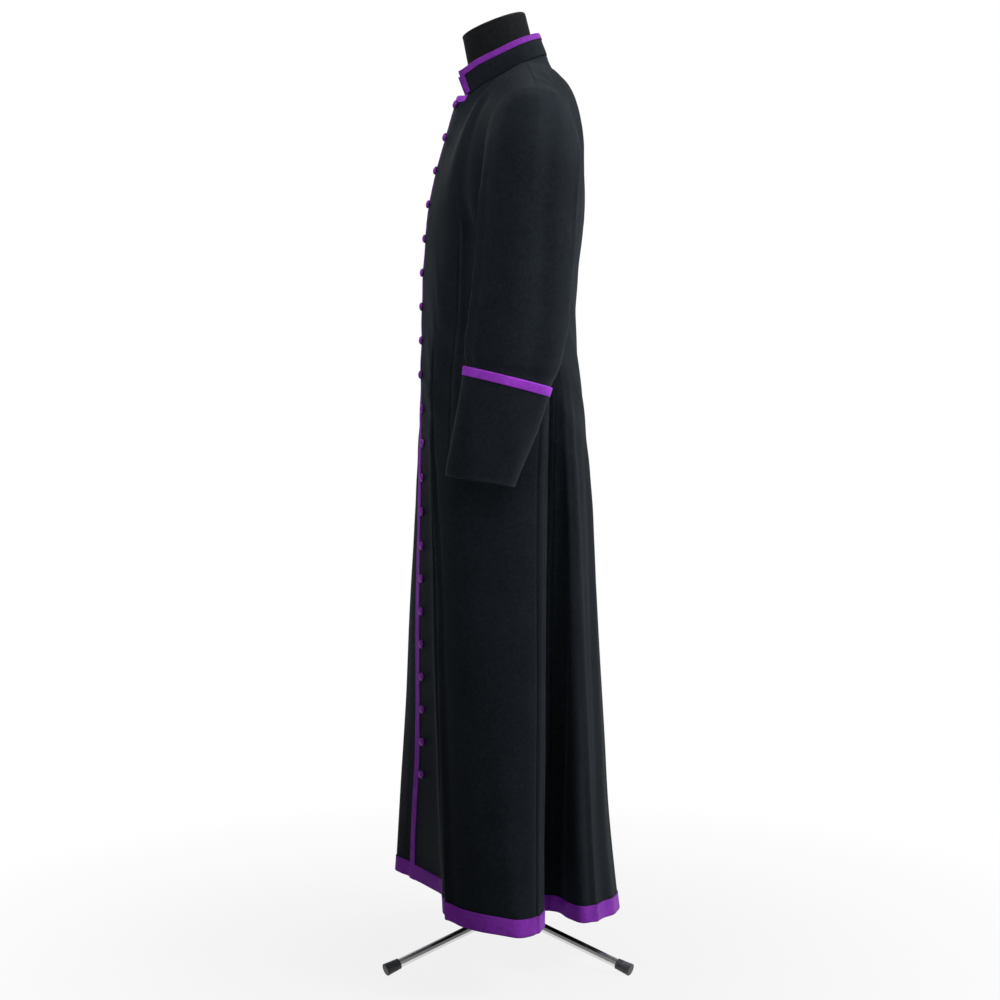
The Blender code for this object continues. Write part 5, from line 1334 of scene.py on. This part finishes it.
# ---------------------------------------------------------------------- pole, hub and legs
# Steel tube and a turned hub, chromium plated: the pole stands in the hub, and three
# straight tubes are plugged into it and run down to their feet.
CHROME, plate, plate_shader, _, plate_tone = toned_finish("chrome_plate")
set_sockets(plate_shader, {"Metallic": 1.0})
colour_between(plate, plate_shader, plate_tone["Broad"], (0.66, 0.66, 0.66),
               (0.82, 0.82, 0.81))
plate_rough = math_node(plate, "MULTIPLY_ADD", plate_tone["Nap"], 0.12, 0.16)
plate.links.new(plate_rough, plate_shader.inputs["Roughness"])
for label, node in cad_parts.items():
    if label.startswith(("stand_", "leg_")):
        refinish(node, CHROME)

# ------------------------------------------------------------------------ rubber feet
# Moulded black rubber ferrules pushed over the ends of the legs, ribbed round their lower
# half, with a rolled mouth. Their rims stand flat on the floor.
LEG_RISE = 0.28        # how much a leg climbs for each metre inwards
LEG_TURN = 175.0       # the first leg's direction in plan, degrees
FOOT_REACH, FOOT_AXIS_Z = 0.2355, 0.0088   # end of a leg's axis, from the pole and up
RUBBER, rubber, rubber_shader, _, rubber_tone = toned_finish("moulded_rubber")
dust = math_node(rubber, "MULTIPLY_ADD", rubber_tone["Nap"], 2.4, -0.7)
colour_between(rubber, rubber_shader, dust, (0.040, 0.044, 0.050), (0.120, 0.126, 0.135))
rubber_rough = math_node(rubber, "MULTIPLY_ADD", rubber_tone["Nap"], 0.3, 0.38)
rubber.links.new(rubber_rough, rubber_shader.inputs["Roughness"])
rubber.links.new(bump(rubber, rubber_tone["Slub"], 0.4, 0.0004),
                 rubber_shader.inputs["Normal"])

# Outline of a ferrule, radius and distance up the leg: its rim, its side with five ribs,
# the rolled mouth, and the socket that the leg goes into.
ribs = np.linspace(0.0, 1.0, 65)
side = np.stack([0.0106 - 0.0017 * ribs - 0.00055 * (ribs < 0.62)
                 * (0.5 - 0.5 * np.cos(ribs * 2 * np.pi * 8.06)), 0.0012 + 0.0235 * ribs], -1)
ferrule = np.concatenate([
    [(0.0094, 0.0), (0.0101, 0.0003), (0.0104, 0.0007)], side,
    [(0.0092, 0.0252), (0.0091, 0.0260), (0.0087, 0.0265), (0.0082, 0.0263),
     (0.0079, 0.0257), (0.0079, 0.0046), (0.0074, 0.0042)]])


def leg_point(number, reach):
    """Point on a leg's axis this far out from the pole: straight, and climbing inwards."""
    angle = math.radians(LEG_TURN + 120.0 * number)
    return np.array([reach * math.cos(angle), reach * math.sin(angle),
                     FOOT_AXIS_Z + LEG_RISE * (FOOT_REACH - reach)])


ferrule_angle = np.arange(48) * 2 * np.pi / 48
for number in range(3):
    end = leg_point(number, FOOT_REACH)
    along_leg = unit(leg_point(number, 0.016) - end)
    across_leg = unit(np.cross(along_leg, [0.0, 0.0, 1.0]))
    over_leg = np.cross(across_leg, along_leg)
    points = (end + ferrule[:, None, 1:] * along_leg
              + ferrule[:, None, :1] * (np.cos(ferrule_angle)[:, None] * across_leg
                                        + np.sin(ferrule_angle)[:, None] * over_leg))
    points[..., 2] = np.maximum(points[..., 2], 0.0)
    solid_piece(f"ferrule_{number + 1}", points[::-1], RUBBER,
                [f"foot_{number + 1}"])
